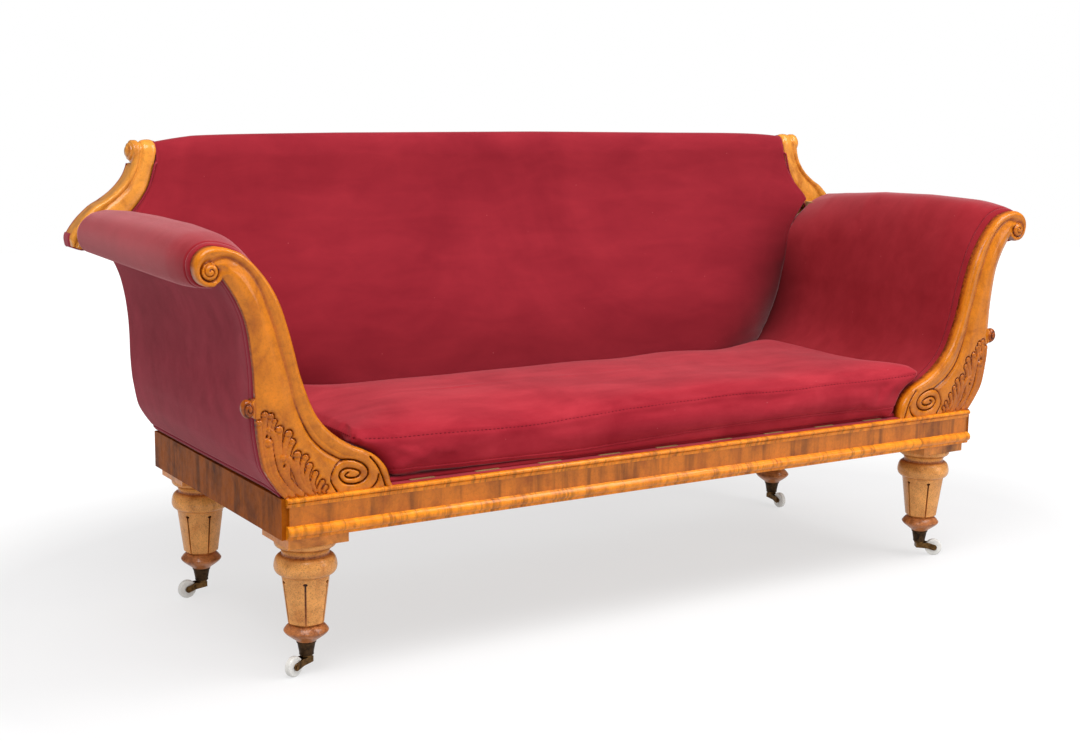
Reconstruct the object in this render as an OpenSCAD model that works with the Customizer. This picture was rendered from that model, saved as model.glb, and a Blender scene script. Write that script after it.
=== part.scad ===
// Scroll-arm sofa on four turned legs with casters. Millimetres, +Z up, front towards -Y.
// The origin is the middle of the footprint on the floor. Inside the file Y starts at the front leg axes.

/* [Seat frame] */
// Distance between the left and right leg axes
leg_span = 1550; // [1400:1:1700]
// Distance between the front and back leg axes
leg_depth = 530; // [490:1:570]
// Height of the top of the seat rails above the floor
rail_top = 349; // [335:1:370]
// Depth of the seat rails
rail_h = 75; // [68:1:84]
// Thickness of the seat rails
rail_t = 32; // [26:1:38]
// How far the side rails stand outside the leg axes
side_overhang = 73; // [66:1:80]
// How far the core of the front rail stands in front of the leg axes
front_overhang = 63; // [58:1:70]
// How far the back rail stands behind the leg axes
back_overhang = 60; // [54:1:70]
// Width of the two cross bearers under the webbing
bearer_w = 40; // [30:1:60]
// Distance between the two cross bearers
bearer_span = 520; // [400:1:700]

/* [Front mouldings] */
// Thickness of the frieze veneer on the front rail
frieze_t = 5; // [3:0.5:8]
// Height of the frieze
frieze_h = 34; // [30:1:38]
// Height of the bead along the top of the front rail
bead_h = 16; // [12:1:19]
// How far the top bead stands out from the core of the rail
bead_out = 11; // [8:0.5:14]
// How far the lower torus stands out from the core of the rail
torus_out = 15; // [11:0.5:18]

/* [Legs] */
// Side of the square tablet under the rail at each leg
tablet_w = 118; // [112:1:124]
// Thickness of the tablet
tablet_h = 20; // [16:1:24]
// Largest radius of the turned torus near the top of the leg
torus_r = 58; // [54:0.5:60]
// Radius of the leg body at its top
body_top_r = 48; // [44:0.5:49]
// Radius of the leg body at its bottom
body_low_r = 36; // [33:0.5:38]
// Largest radius of the dark reel at the foot
reel_r = 41.5; // [38:0.5:44]
// Width of the flutes in the leg body
flute_w = 3.8; // [3:0.1:5]
// Depth of the flutes
flute_d = 4; // [2.5:0.1:5.5]
// Radius of the tenon on top of the leg
tenon_r = 15; // [12:0.5:18]
// Height of the tenon inside the corner block
tenon_h = 30; // [20:1:40]

/* [Casters] */
// Radius of the ceramic wheel
wheel_r = 19; // [17:0.5:21]
// Width of the ceramic wheel
wheel_w = 12; // [9:0.5:14]
// Distance from the swivel axis to the wheel axle
trail = 34; // [33:0.5:38]
// Height of the brass cup
cup_h = 26; // [24:0.5:30]
// Radius of the cup at its top
cup_top_r = 17.5; // [16.5:0.25:19]
// Radius of the cup at its bottom
cup_low_r = 12.7; // [12:0.1:14]
// Radius of the axle pin
axle_r = 2.5; // [2:0.1:3]
// Radius of the swivel pintle
pintle_r = 4; // [3.5:0.1:5]
// Thickness of each cheek of the horn
cheek_t = 3.5; // [2.5:0.1:4.5]

/* [Arms] */
// Reach of an arm from its toe to the outside of its scroll
arm_reach = 370; // [350:1:395]
// Height of the arm scroll above the seat rail
arm_h = 452; // [420:1:490]
// Thickness of the carved arm front
front_t = 22; // [18:0.5:28]
// Width of the bead along the inner edge of the arm front
arm_bead_w = 24; // [19:0.5:27]
// Height of the relief on the arm front
relief = 5; // [3:0.5:7]
// Thickness of the stuffing on the inside of the arm
arm_pad_t = 40; // [34:1:48]
// How far the cloth of the arm stands proud of the show-wood
arm_crown = 12; // [6:0.5:16]
// Thickness of the covered outside of the arm
arm_side_t = 12; // [8:0.5:16]
// Thickness of the arm stumps
stump_t = 34; // [26:1:42]

/* [Back] */
// Height of the top of the back posts above the seat rail
post_h = 551; // [520:1:580]
// Thickness of the back frame
post_t = 32; // [26:1:38]
// How far the back leans out between the seat and the ears
back_lean = 54; // [40:1:66]
// Thickness of the show-wood ears
ear_t = 18; // [14:0.5:22]
// Radius of the roll at the top of the ears
ear_roll_r = 24; // [20:0.5:27]
// Depth of the stuffing at the foot of the back
back_pad_low = 126; // [110:1:140]
// Depth of the stuffing at the top of the back
back_pad_top = 22; // [16:1:28]
// Thickness of the cloth-covered outside of the back
outback_t = 6; // [4:0.5:10]

/* [Seat] */
// Thickness of one band of webbing
web_t = 1.5; // [1:0.1:2.5]
// Width of one band of webbing
web_w = 52; // [40:1:60]
// Thickness of the covered deck on the webbing
deck_t = 6; // [4:0.5:10]
// Height of the cushion at its top seam
cushion_h = 83; // [70:1:95]
// Extra height of the cushion at its crown
cushion_crown = 22; // [12:1:30]
// Depth of the cushion from front to back
cushion_d = 487; // [470:1:490]

/* [Hidden] */
$fn = 48;
over = 1;
rest_gap = 0.3;
run_gap = 0.05;
seat_gap = 0.02;

wood = "peru";
dark_wood = "saddlebrown";
bronze = "darkslategray";
brass = "darkgoldenrod";
ceramic = "ghostwhite";
cloth = "firebrick";
jute = "tan";
deal = "burlywood";

leg_x = leg_span / 2;
rail_low = rail_top - rail_h;
side_x = leg_x + side_overhang;
side_in_x = side_x - rail_t;
front_y = -front_overhang;
front_in_y = front_y + rail_t;
back_y = leg_depth + back_overhang;
back_in_y = back_y - rail_t;
tablet_low = rail_low - tablet_h;

bead_low = rail_top - bead_h;
frieze_low = bead_low - frieze_h;
torus_h = 19;
fillet_out = 7;
fillet_t = 1;
frieze_end_in = 13;
mould_end_in = 8;
frieze_end_x = side_x - frieze_end_in;
mould_end_x = side_x - mould_end_in;

leg_top = tablet_low;
cup_low = 34;
cup_top = cup_low + cup_h;
leg_flute_turns = [25, -4.5, 27, 10];
caster_turns = [203, 186, -32, 268];
flute_count = 6;
spigot_r = 13;
spigot_h = 14;
cup_rim = 0.8;
cup_rim_h = 2.5;
pintle_h = 18;
pintle_room = 1;
disc_r = 11;
disc_h = 3.5;
fork_gap = 0.5;
neck_x = 8;
neck_h = 11;
boss_r = 6.5;
horn_bend_share = 0.55;
axle_head_r = 4.2;
axle_head_t = 1.5;
tread_round = 3;

heel_share = 0.5865;
lean_top_share = 0.838;
pad_over_roll = 3;
toe_x = side_x - arm_reach * heel_share;
panel_y = front_y;
panel_back_y = panel_y + front_t;
web_top = rail_top + 2 * web_t;
deck_top = web_top + deck_t;

post_front_low = back_in_y;
ear_y = post_front_low + back_lean - ear_t;
post_front_top = ear_y + ear_t;
post_top = rail_top + post_h;
lean_top = rail_top + arm_h * lean_top_share;
out_back_y = post_front_top + post_t + rest_gap + outback_t;
top_z = post_top + 2 * ear_roll_r + pad_over_roll;
torus_face_y = front_y - torus_out;
mid_y = (torus_face_y + out_back_y) / 2;

// Shares of the arm's reach and height, from the toe up the inner edge to the top of the scroll
inner_shares = [[0, 0], [0.01, 0.045], [0.032, 0.085], [0.08, 0.127], [0.141, 0.156], [0.212, 0.182],
    [0.29, 0.224], [0.355, 0.273], [0.403, 0.328], [0.437, 0.39], [0.479, 0.489], [0.506, 0.578], [0.543, 0.687],
    [0.586, 0.784], [0.657, 0.878], [0.751, 0.957], [0.86, 0.995]];
// The same for the outer edge, from the heel up to the throat under the scroll
outer_shares = [[0.568, 0], [0.603, 0.035], [0.642, 0.08], [0.672, 0.125], [0.686, 0.17], [0.696, 0.22],
    [0.704, 0.268], [0.71, 0.36], [0.712, 0.46], [0.721, 0.56], [0.747, 0.695], [0.793, 0.79], [0.857, 0.872]];
eye_share = [0.93, 0.912];
scroll_r = 42;
scroll_low_r = 27;
tightening_turn = 130;
// Shares of the ear's width and height, its outer edge from the tip up to the roll
ear_outer_shares = [[0.99, 0.03], [1, 0.12], [0.96, 0.2], [0.88, 0.3], [0.8, 0.375], [0.72, 0.44], [0.61, 0.5],
    [0.47, 0.6], [0.36, 0.72], [0.3, 0.84], [0.265, 1]];
// The same for its inner edge
ear_inner_shares = [[0.9, 0], [0.75, 0], [0.58, 0.04], [0.455, 0.155], [0.37, 0.32], [0.275, 0.43],
    [0.195, 0.53], [0.125, 0.655], [0.07, 0.83], [0.045, 0.93], [0.03, 1]];
ear_foot_share = [0.5135, 0.8473];
ear_width_share = 0.4973;
ear_foot = [toe_x + arm_reach * ear_foot_share.x, rail_top + arm_h * ear_foot_share.y];
ear_size = [arm_reach * ear_width_share, post_top + ear_roll_r - ear_foot.y];

// Curves
function mix(a, b, t) = a + (b - a) * t;
function ends(p, i) = p[max(0, min(len(p) - 1, i))];
function spline_at(p, i, t) =
    let (a = ends(p, i - 1), b = p[i], c = ends(p, i + 1), d = ends(p, i + 2))
    0.5 * (2 * b + (c - a) * t + (2 * a - 5 * b + 4 * c - d) * t * t + (3 * b - a - 3 * c + d) * t * t * t);
function spline(p, n) = [for (i = [0:len(p) - 2], k = [0:n - 1]) spline_at(p, i, k / n), p[len(p) - 1]];
function unit(v) = v / norm(v);
function heading(p, i) = unit(ends(p, i + 1) - ends(p, i - 1));
function leftward(v) = [-v.y, v.x];
function beside(p, d) = [for (i = [0:len(p) - 1]) p[i] + leftward(heading(p, i)) * d];
function lengths(p, i = 0, sum = 0, out = [0]) =
    i >= len(p) - 1 ? out : let (s = sum + norm(p[i + 1] - p[i])) lengths(p, i + 1, s, concat(out, [s]));
function along(p, n) =
    let (s = lengths(p), all = s[len(s) - 1], xs = [for (i = [0:len(p) - 1]) [s[i], p[i].x]],
        ys = [for (i = [0:len(p) - 1]) [s[i], p[i].y]])
    [for (k = [0:n - 1]) [lookup(all * k / (n - 1), xs), lookup(all * k / (n - 1), ys)]];
function by_shares(shares, foot, size) = [for (s = shares) [foot.x + s.x * size.x, foot.y + s.y * size.y]];

// A closed solid between two grids of points that have the same rows and columns
function facing(rows, cols, first, turned) = [
    for (r = [0:rows - 2], c = [0:cols - 2])
        let (a = first + r * cols + c, b = a + 1, d = a + cols, e = d + 1)
        each turned ? [[a, b, e], [a, e, d]] : [[a, e, b], [a, d, e]]
];
function rim(rows, cols) = concat(
    [for (c = [0:cols - 1]) c],
    [for (r = [1:rows - 1]) r * cols + cols - 1],
    [for (c = [cols - 2:-1:0]) (rows - 1) * cols + c],
    [for (r = [rows - 2:-1:1]) r * cols]);
module slab(front, back) {
    rows = len(front);
    cols = len(front[0]);
    n = rows * cols;
    edge = rim(rows, cols);
    sides = [for (i = [0:len(edge) - 1]) let (a = edge[i], b = edge[(i + 1) % len(edge)])
        each [[a, b, b + n], [a, b + n, a + n]]];
    polyhedron(concat([for (row = front) each row], [for (row = back) each row]),
        concat(facing(rows, cols, 0, false), facing(rows, cols, n, true), sides));
}
// A closed solid through a stack of rings, with a middle point at each end
module stack(rings) {
    n = len(rings[0]);
    m = len(rings);
    points = concat([for (ring = rings) each ring], [ring_middle(rings[0]), ring_middle(rings[m - 1])]);
    walls = [for (j = [0:m - 2], i = [0:n - 1]) let (a = j * n + i, b = j * n + (i + 1) % n)
        each [[a, a + n, b + n], [a, b + n, b]]];
    low = [for (i = [0:n - 1]) [n * m, i, (i + 1) % n]];
    high = [for (i = [0:n - 1]) [n * m + 1, (m - 1) * n + (i + 1) % n, (m - 1) * n + i]];
    polyhedron(points, concat(walls, low, high));
}
function total(list, i = 0) = i == len(list) - 1 ? list[i] : list[i] + total(list, i + 1);
function ring_middle(ring) = total(ring) / len(ring);

// Outlines in the X-Z plane become boards, and outlines in the Y-Z plane become rails
module board(y, t) translate([0, y + t, 0]) rotate([90, 0, 0]) linear_extrude(t) children();
module rail(x, w) translate([x, 0, 0]) rotate([90, 0, 90]) linear_extrude(w) children();
module block(low, high) translate(low) cube(high - low);
module left() mirror([1, 0, 0]) children();
module placed() translate([0, -mid_y, 0]) children();

// The arm's outlines
arm_foot = [toe_x, rail_top];
arm_size = [arm_reach, arm_h];
inner_edge = spline(by_shares(inner_shares, arm_foot, arm_size), 3);
outer_edge = spline(by_shares(outer_shares, arm_foot, arm_size), 3);
eye = by_shares([eye_share], arm_foot, arm_size)[0];
function scroll_radius(a) = scroll_r - (scroll_r - scroll_low_r) * min(1, a / tightening_turn);
scroll_start = 106;
scroll_turn = 205;
scroll_steps = 13;
scroll_edge = [for (k = [0:scroll_steps]) let (a = scroll_turn * k / scroll_steps)
    eye + scroll_radius(a) * [cos(scroll_start - a), sin(scroll_start - a)]];
function below(p, z) = [for (q = p) if (q.y < z) q];
function flipped(p) = [for (i = [len(p) - 1:-1:0]) p[i]];
arm_outline = concat(inner_edge, scroll_edge, flipped(outer_edge));
function inner_x(z) = x_at(inner_edge, z);

module front_rail() color(deal)
    block([-side_in_x, front_y, rail_low], [side_in_x, front_in_y, rail_top]);

module front_frieze() color(wood)
    block([-frieze_end_x, front_y - frieze_t, frieze_low], [frieze_end_x, front_y, bead_low]);

module rail_top_bead() color(wood)
    rail(-mould_end_x, 2 * mould_end_x) polygon(concat(
        [[front_y, rail_top], [front_y, bead_low], [front_y - frieze_t, bead_low]],
        [for (a = [0:15:75]) [front_y - frieze_t - (bead_out - frieze_t) * (1 - cos(a)),
            bead_low + bead_h / 2 * sin(a)]],
        [for (a = [-90:22.5:90]) [front_y - bead_out + bead_h / 4 - bead_h / 4 * cos(a),
            rail_top - bead_h / 4 + bead_h / 4 * sin(a)]]));

module rail_torus() color(wood)
    rail(-mould_end_x, 2 * mould_end_x) polygon(concat(
        [[front_y, rail_low], [front_y, frieze_low], [front_y - frieze_t, frieze_low]],
        [for (a = [60:-15:-90]) [front_y - torus_out + torus_h / 2 - torus_h / 2 * cos(a),
            frieze_low - torus_h / 2 - fillet_t + torus_h / 2 * sin(a)]],
        [[front_y - fillet_out, frieze_low - torus_h - fillet_t], [front_y - fillet_out, rail_low]]));

module back_rail() color(deal)
    block([-side_in_x, back_in_y, rail_low], [side_in_x, back_y, rail_top]);

module side_rail() color(wood)
    block([side_in_x, front_y, rail_low], [side_x, back_y, rail_top]);

module seat_bearers() color(deal)
    for (s = [-1, 1])
        block([s * bearer_span / 2 - bearer_w / 2, front_in_y, rail_low + rail_h / 5],
            [s * bearer_span / 2 + bearer_w / 2, back_in_y, rail_top]);

// One block in each corner takes the leg's tenon
block_w = 80;
module corner_blocks() color(deal)
    for (s = [-1, 1], y = [0, leg_depth]) {
        low_y = y == 0 ? front_in_y : back_in_y - block_w;
        low_x = s < 0 ? -side_in_x : side_in_x - block_w;
        difference() {
            block([low_x, low_y, rail_low], [low_x + block_w, low_y + block_w, rail_top]);
            translate([s * leg_x, y, rail_low - over])
                cylinder(r = tenon_r + run_gap, h = tenon_h + run_gap + over);
        }
    }

module tablet() color(wood)
    difference() {
        block([-tablet_w / 2, -tablet_w / 2, tablet_low], [tablet_w / 2, tablet_w / 2, rail_low]);
        translate([0, 0, tablet_low - over]) cylinder(r = tenon_r + run_gap, h = tablet_h + 2 * over);
    }

// Heights down the turned leg, as shares of the leg between the cup and the tablet
function leg_z(share) = mix(cup_top, leg_top, share);
function arc(centre, r, from, to, n) =
    [for (k = [0:n]) let (a = mix(from, to, k / n)) centre + [r.x * cos(a), r.y * sin(a)]];
collar_out = 0.3;
collar_r = body_top_r + collar_out;
neck_r = 44;
ring_in = 2;
ring_r = torus_r - ring_in;
torus_z = leg_z(0.745);
torus_half = 0.088 * (leg_top - cup_top);
body_top = leg_z(0.667);
body_low = leg_z(0.195);
reel_z = leg_z(0.11);
waist_r = body_low_r * 0.8;
reel_round = [4, 5];
chamfer_h = 4;
module leg(turn) {
    color(wood) rotate([0, 0, turn]) difference() {
        union() {
            translate([0, 0, leg_top - over / 2]) cylinder(r = tenon_r, h = tenon_h + tablet_h + over / 2);
            rotate_extrude() polygon(concat(
                [[0, leg_top], [0, cup_top - spigot_h], [spigot_r, cup_top - spigot_h], [spigot_r, cup_top]],
                [[cup_top_r, cup_top]],
                [[mix(cup_top_r, reel_r, 0.22), leg_z(0.02)], [mix(cup_top_r, reel_r, 0.75), leg_z(0.065)]],
                arc([reel_r - reel_round.x, reel_z], reel_round, -50, 60, 4),
                [[waist_r, leg_z(0.17)], [waist_r, body_low]],
                [[waist_r, body_top - over], [collar_r, body_top - over], [collar_r, body_top]],
                arc([torus_r - torus_half * 0.8, torus_z], [torus_half * 0.8, torus_half * 0.85], -80, 0, 5),
                arc([neck_r, torus_z], [torus_r - neck_r, torus_half * 1.25], 15, 85, 6),
                [[neck_r, leg_z(0.89)]],
                arc([neck_r, leg_z(0.945)], [ring_r - neck_r, leg_z(0.945) - leg_z(0.9)], -70, 0, 4),
                [[ring_r, leg_top]]));
            leg_body();
        }
        for (k = [0:flute_count - 1]) rotate([0, 0, k * 360 / flute_count]) flute();
        translate([0, 0, cup_top - spigot_h - over])
            cylinder(r = pintle_r + pintle_room, h = pintle_h - cup_h + 2 * spigot_h);
    }
}
// A six-sided body with slightly rounded flats, tapering down to its chamfered foot
body_bulge = 0.75;
body_steps = 4;
flat_share = cos(180 / flute_count);
function body_ring(r) = [for (k = [0:flute_count - 1], j = [0:body_steps - 1])
    let (a = (k + j / body_steps) * 360 / flute_count, b = abs(j / body_steps - 0.5) * 360 / flute_count,
        flat = r * flat_share / cos(b))
    mix(flat, r, body_bulge) * [cos(a), sin(a)]];
module leg_body() {
    h = body_top - body_low;
    translate([0, 0, body_low])
        linear_extrude(h, scale = body_top_r / body_low_r) polygon(body_ring(body_low_r));
    translate([0, 0, body_low - chamfer_h])
        linear_extrude(chamfer_h, scale = body_low_r / waist_r) polygon(body_ring(waist_r));
}
module flute() {
    h = body_top - body_low;
    lean = atan((body_top_r - body_low_r) / h);
    head = flute_w * 2;
    translate([body_low_r, 0, body_low - chamfer_h - over]) rotate([0, lean, 0])
        translate([-flute_d, 0, 0]) rotate([90, 0, 90]) linear_extrude(flute_d * 2)
            polygon([[-flute_w / 2, 0], [flute_w / 2, 0], [flute_w / 2, h * 0.88], [head / 2, h * 0.955],
                [head / 2, h * 0.985], [-head / 2, h * 0.985], [-head / 2, h * 0.955],
                [-flute_w / 2, h * 0.88]]);
}

module cup() color(bronze)
    difference() {
        union() {
            translate([0, 0, cup_low]) cylinder(r1 = cup_low_r, r2 = cup_top_r, h = cup_h);
            translate([0, 0, cup_top - cup_rim_h]) cylinder(r = cup_top_r + cup_rim, h = cup_rim_h);
            translate([0, 0, cup_low]) cylinder(r = cup_low_r + cup_rim, h = cup_rim_h);
        }
        translate([0, 0, cup_top - spigot_h]) cylinder(r = spigot_r + run_gap, h = spigot_h + over);
        translate([0, 0, cup_low - over]) cylinder(r = pintle_r + run_gap, h = cup_h + over);
    }

// The horn trails towards +X before it is turned
axle_z = wheel_r;
horn_top = cup_low - rest_gap;
cheek_in = wheel_w / 2 + fork_gap;
cheek_out = cheek_in + cheek_t;
neck_low = horn_top - disc_h - neck_h;
horn_bend = [trail * horn_bend_share, neck_low + neck_h - boss_r];
module horn() color(brass)
    difference() {
        union() {
            translate([0, 0, horn_top - disc_h]) cylinder(r = disc_r, h = disc_h);
            translate([0, 0, horn_top - disc_h]) cylinder(r = pintle_r, h = disc_h + pintle_h);
            block([-neck_x, -cheek_out, neck_low], [neck_x, cheek_out, horn_top - disc_h]);
            for (s = [-1, 1]) translate([0, s < 0 ? -cheek_out : cheek_in, 0]) board(0, cheek_t) {
                hull() {
                    translate([trail, axle_z]) circle(boss_r);
                    translate(horn_bend) circle(boss_r);
                }
                hull() {
                    translate(horn_bend) circle(boss_r);
                    translate([-neck_x, neck_low]) square([neck_x, neck_h]);
                }
            }
        }
        translate([trail, 0, axle_z]) rotate([90, 0, 0])
            cylinder(r = axle_r + seat_gap, h = 2 * cheek_out + 2 * over, center = true);
        translate([trail, 0, axle_z]) rotate([90, 0, 0])
            cylinder(r = wheel_r + fork_gap, h = 2 * cheek_in, center = true);
    }

module wheel() color(ceramic)
    translate([trail, 0, axle_z]) rotate([90, 0, 0]) rotate_extrude() polygon(concat(
        [[axle_r + run_gap, -wheel_w / 2]],
        arc([wheel_r - tread_round, -wheel_w / 2 + tread_round], [tread_round, tread_round], -90, 0, 4),
        arc([wheel_r - tread_round, wheel_w / 2 - tread_round], [tread_round, tread_round], 0, 90, 4),
        [[axle_r + run_gap, wheel_w / 2]]));

module axle() color(brass)
    translate([trail, 0, axle_z]) rotate([90, 0, 0]) {
        cylinder(r = axle_r, h = 2 * cheek_out + axle_head_t, center = true);
        for (s = [-1, 1])
            translate([0, 0, s * (cheek_out + axle_head_t / 2)])
                cylinder(r = axle_head_r, h = axle_head_t, center = true);
    }

// The carved front of an arm: a base, a round field, a bead that winds into the scroll, a volute at the
// toe, and acanthus leaves at the heel
field_y = panel_y + relief / 2;
function relief_point(p, height) = [p.x, field_y - height, p.y];
function sunk(front) = [for (row = front) [for (p = row) [p.x, field_y + relief, p.z]]];
// One moulding along a path in the face, with half its width and height given for each point
across_shares = [1, 0.7, 0, -0.7, -1];
module moulding(path, half, height) {
    n = len(path);
    front = [for (i = [0:n - 1]) [for (w = across_shares)
        relief_point(path[i] + leftward(heading(path, i)) * w * half[i], height[i] * sqrt(1 - 0.92 * w * w))]];
    slab(front, sunk(front));
}
function ramp(n, from, to) = [for (i = [0:n - 1]) mix(from, to, i / (n - 1))];
field_steps = 14;
field_profile_shares = [[0, 0], [0.15, 0.6], [0.45, 1], [0.75, 0.9], [1, 0.35]];
module arm_field() {
    a = along(inner_edge, field_steps);
    b = along(outer_edge, field_steps);
    front = [for (i = [0:field_steps - 1]) let (d = unit(b[i] - a[i]), low = a[i] + d * arm_bead_w)
        [for (p = field_profile_shares) relief_point(mix(low, b[i] - d, p.x), p.y * relief * 0.7)]];
    slab(front, sunk(front));
}
bead_inset = arm_bead_w / 2;
stem_steps = 20;
spiral_turn = 290;
spiral_steps = 14;
snail_r = 15;
function bead_radius(a) = scroll_radius(a) - bead_half(a);
function bead_half(a) = (scroll_radius(a) - snail_r) * 0.46;
module arm_bead() {
    stem = beside(along(inner_edge, stem_steps), -bead_inset);
    wind = [for (k = [0:spiral_steps]) let (a = spiral_turn * k / spiral_steps)
        eye + bead_radius(a) * [cos(scroll_start - a), sin(scroll_start - a)]];
    widths = [for (k = [0:spiral_steps]) bead_half(spiral_turn * k / spiral_steps)];
    path = concat([for (i = [0:len(stem) - 2]) stem[i]], wind);
    stems = len(stem) - 1;
    moulding(path, concat(ramp(stems, bead_inset, bead_inset), widths), ramp(len(path), relief, relief));
}
// The snail at the end of the scroll winds in on itself
snail_turn = 620;
snail_lead = 60;
snail_steps = 22;
module arm_snail() {
    path = [for (k = [0:snail_steps])
        let (t = k / snail_steps, a = scroll_start - spiral_turn + snail_lead - snail_turn * t)
        eye + snail_r * mix(0.8, 0.12, t) * [cos(a), sin(a)]];
    moulding(path, ramp(len(path), snail_r * 0.2, snail_r * 0.12), ramp(len(path), relief, relief * 1.5));
}
toe_eye_share = [0.222, 0.07];
toe_eye = by_shares([toe_eye_share], arm_foot, arm_size)[0];
toe_r = [42, 31];
toe_turn = 740;
toe_start = 140;
toe_rib = [5.6, 2.6];
toe_steps = 30;
module toe_volute() {
    path = [for (k = [0:toe_steps])
        let (t = k / toe_steps, a = toe_start + toe_turn * t, r = mix(0.82, 0.14, t))
        toe_eye + [-toe_r.x * r * cos(a), toe_r.y * r * sin(a)]];
    moulding(path, ramp(len(path), toe_rib.x, toe_rib.y), ramp(len(path), relief * 0.9, relief * 1.1));
}
// Ribs of the leaves, each from the heel to its curled tip, in shares of the arm's reach and height
leaf_ribs_shares = [
    [[0.54, 0.01], [0.628, 0.066], [0.662, 0.12], [0.682, 0.2], [0.692, 0.28], [0.716, 0.332]],
    [[0.53, 0.01], [0.6, 0.073], [0.641, 0.14], [0.661, 0.217], [0.672, 0.29], [0.687, 0.335]],
    [[0.52, 0.012], [0.586, 0.062], [0.624, 0.13], [0.643, 0.215], [0.653, 0.296], [0.663, 0.352]],
    [[0.586, 0.062], [0.612, 0.137], [0.629, 0.212], [0.637, 0.279], [0.635, 0.332]],
    [[0.5, 0.013], [0.576, 0.066], [0.616, 0.128], [0.632, 0.195], [0.638, 0.246], [0.649, 0.283]],
    [[0.495, 0.013], [0.56, 0.08], [0.595, 0.142], [0.608, 0.21], [0.614, 0.254], [0.603, 0.281]],
    [[0.56, 0.08], [0.584, 0.15], [0.589, 0.208], [0.573, 0.243], [0.551, 0.259]],
    [[0.554, 0.102], [0.568, 0.157], [0.562, 0.197], [0.538, 0.219]],
    [[0.478, 0.013], [0.522, 0.051], [0.541, 0.091], [0.549, 0.131], [0.565, 0.157], [0.584, 0.164]],
    [[0.473, 0.015], [0.505, 0.062], [0.519, 0.111], [0.519, 0.144], [0.505, 0.175]],
    [[0.465, 0.015], [0.489, 0.062], [0.495, 0.104], [0.486, 0.142], [0.47, 0.159]],
    [[0.446, 0.015], [0.473, 0.051], [0.478, 0.086], [0.465, 0.113], [0.443, 0.122]],
    [[0.427, 0.013], [0.451, 0.042], [0.451, 0.071], [0.435, 0.086], [0.414, 0.091]],
    [[0.397, 0.013], [0.419, 0.031], [0.411, 0.049], [0.376, 0.053]]];
leaf_rib_w = [2.2, 4.6];
bump_share = [0.742, 0.366];
bump_r = 15;
module arm_leaves() {
    for (shares = leaf_ribs_shares) {
        path = by_shares(shares, arm_foot, arm_size);
        n = len(path);
        tip = path[n - 1];
        moulding(path, ramp(n, leaf_rib_w.x, leaf_rib_w.y), ramp(n, relief * 0.8, relief * 1.25));
        hull() for (d = [0, relief])
            translate([tip.x, field_y - relief * 0.5 + d, tip.y]) sphere(leaf_rib_w.y, $fn = 6);
    }
    bump = by_shares([bump_share], arm_foot, arm_size)[0];
    hull() for (d = [0, panel_back_y - field_y - relief])
        translate([bump.x, field_y - relief * 0.3 + d, bump.y]) scale([1, 0.6, 1]) sphere(bump_r, $fn = 12);
}
module arm_front() color(wood) intersection() {
    union() {
        board(field_y, panel_back_y - field_y) polygon(arm_outline);
        arm_field();
        arm_bead();
        arm_snail();
        toe_volute();
        arm_leaves();
    }
    block([toe_x - over, panel_y - 3 * relief, rail_top], [side_x + side_x, panel_back_y, top_z]);
}

// The arm's inner frame and its stuffing share these outlines
bar_low_share = 0.856;
bar_size = [60, 40];
bar_x = toe_x + arm_reach * 0.74;
bar_low = rail_top + arm_h * bar_low_share;
pad_lower = [for (p = inner_edge) if (p.y < bar_low) p];
pad_inside = beside(pad_lower, -arm_pad_t);
side_inner = beside(outer_edge, arm_side_t);
function x_at(p, z) = lookup(z, [for (q = p) [q.y, q.x]]);
function from_height(p, z) = concat([[x_at(p, z), z]], [for (q = p) if (q.y > z + over) q]);
pad_lower_n = 26;
pad_foot = web_top + rest_gap;
pad_inner_low = along(from_height(pad_inside, pad_foot), pad_lower_n);
side_clear = beside(side_inner, rest_gap);
stump_inner = [for (p = beside(pad_inner_low, -rest_gap)) if (p.y < bar_low - over && p.x < bar_x - over) p];
stump_outer = [for (p = below(side_clear, bar_low - over)) if (p.y > rail_top + over) p];
stump_outline = concat([[stump_inner[0].x, rail_top]], stump_inner, [[bar_x, bar_low]],
    [[x_at(side_clear, bar_low - over), bar_low]], flipped(stump_outer), [[side_clear[0].x, rail_top]]);
module arm_stump() color(deal) board(panel_back_y, stump_t) polygon(stump_outline);
module arm_back_stump() color(deal)
    board(back_in_y - block_w / 2 - stump_t / 2, stump_t) polygon(stump_outline);
module arm_top_rail() color(deal)
    block([bar_x, panel_back_y, bar_low], [bar_x + bar_size.x, ear_y - rest_gap, bar_low + bar_size.y]);

// The front face of the back frame: leaning up to the ears, upright above them
function post_face(z) =
    lookup(z, [[rail_top, post_front_low], [lean_top, post_front_top], [post_top + post_h, post_front_top]]);

pad_upper_n = 17;
crown_zone_share = [0.17, 0.4];
function crown_at(p, crown) =
    crown * min(1, max(0, (p.y - rail_top - arm_h * crown_zone_share.x) / (arm_h * crown_zone_share.y)));
function proud(path, crown) = [for (i = [0:len(path) - 1])
    path[i] + leftward(heading(path, i)) * crown_at(path[i], crown)];
roll_path = concat([for (p = inner_edge) if (p.y >= bar_low) p], scroll_edge);
bar_low_in = [bar_x - rest_gap, bar_low];
bar_high_in = [bar_x - rest_gap, bar_low + bar_size.y + rest_gap];
bar_high_out = [bar_x + bar_size.x + rest_gap, bar_low + bar_size.y + rest_gap];
bar_low_out = [bar_x + bar_size.x + rest_gap, bar_low - rest_gap];
tuck = [bar_x + bar_size.x * 0.6, bar_low - rest_gap];
function stepped(a, b, n) = [for (k = [0:n - 1]) mix(a, b, k / n)];
bar_path = concat(stepped(bar_low_in, bar_high_in, 4), stepped(bar_high_in, bar_high_out, 6),
    stepped(bar_high_out, bar_low_out, 4), stepped(bar_low_out, tuck, 2), [tuck]);
function pad_outer_low(crown) = along(from_height(proud(pad_lower, crown), pad_foot), pad_lower_n);
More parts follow.
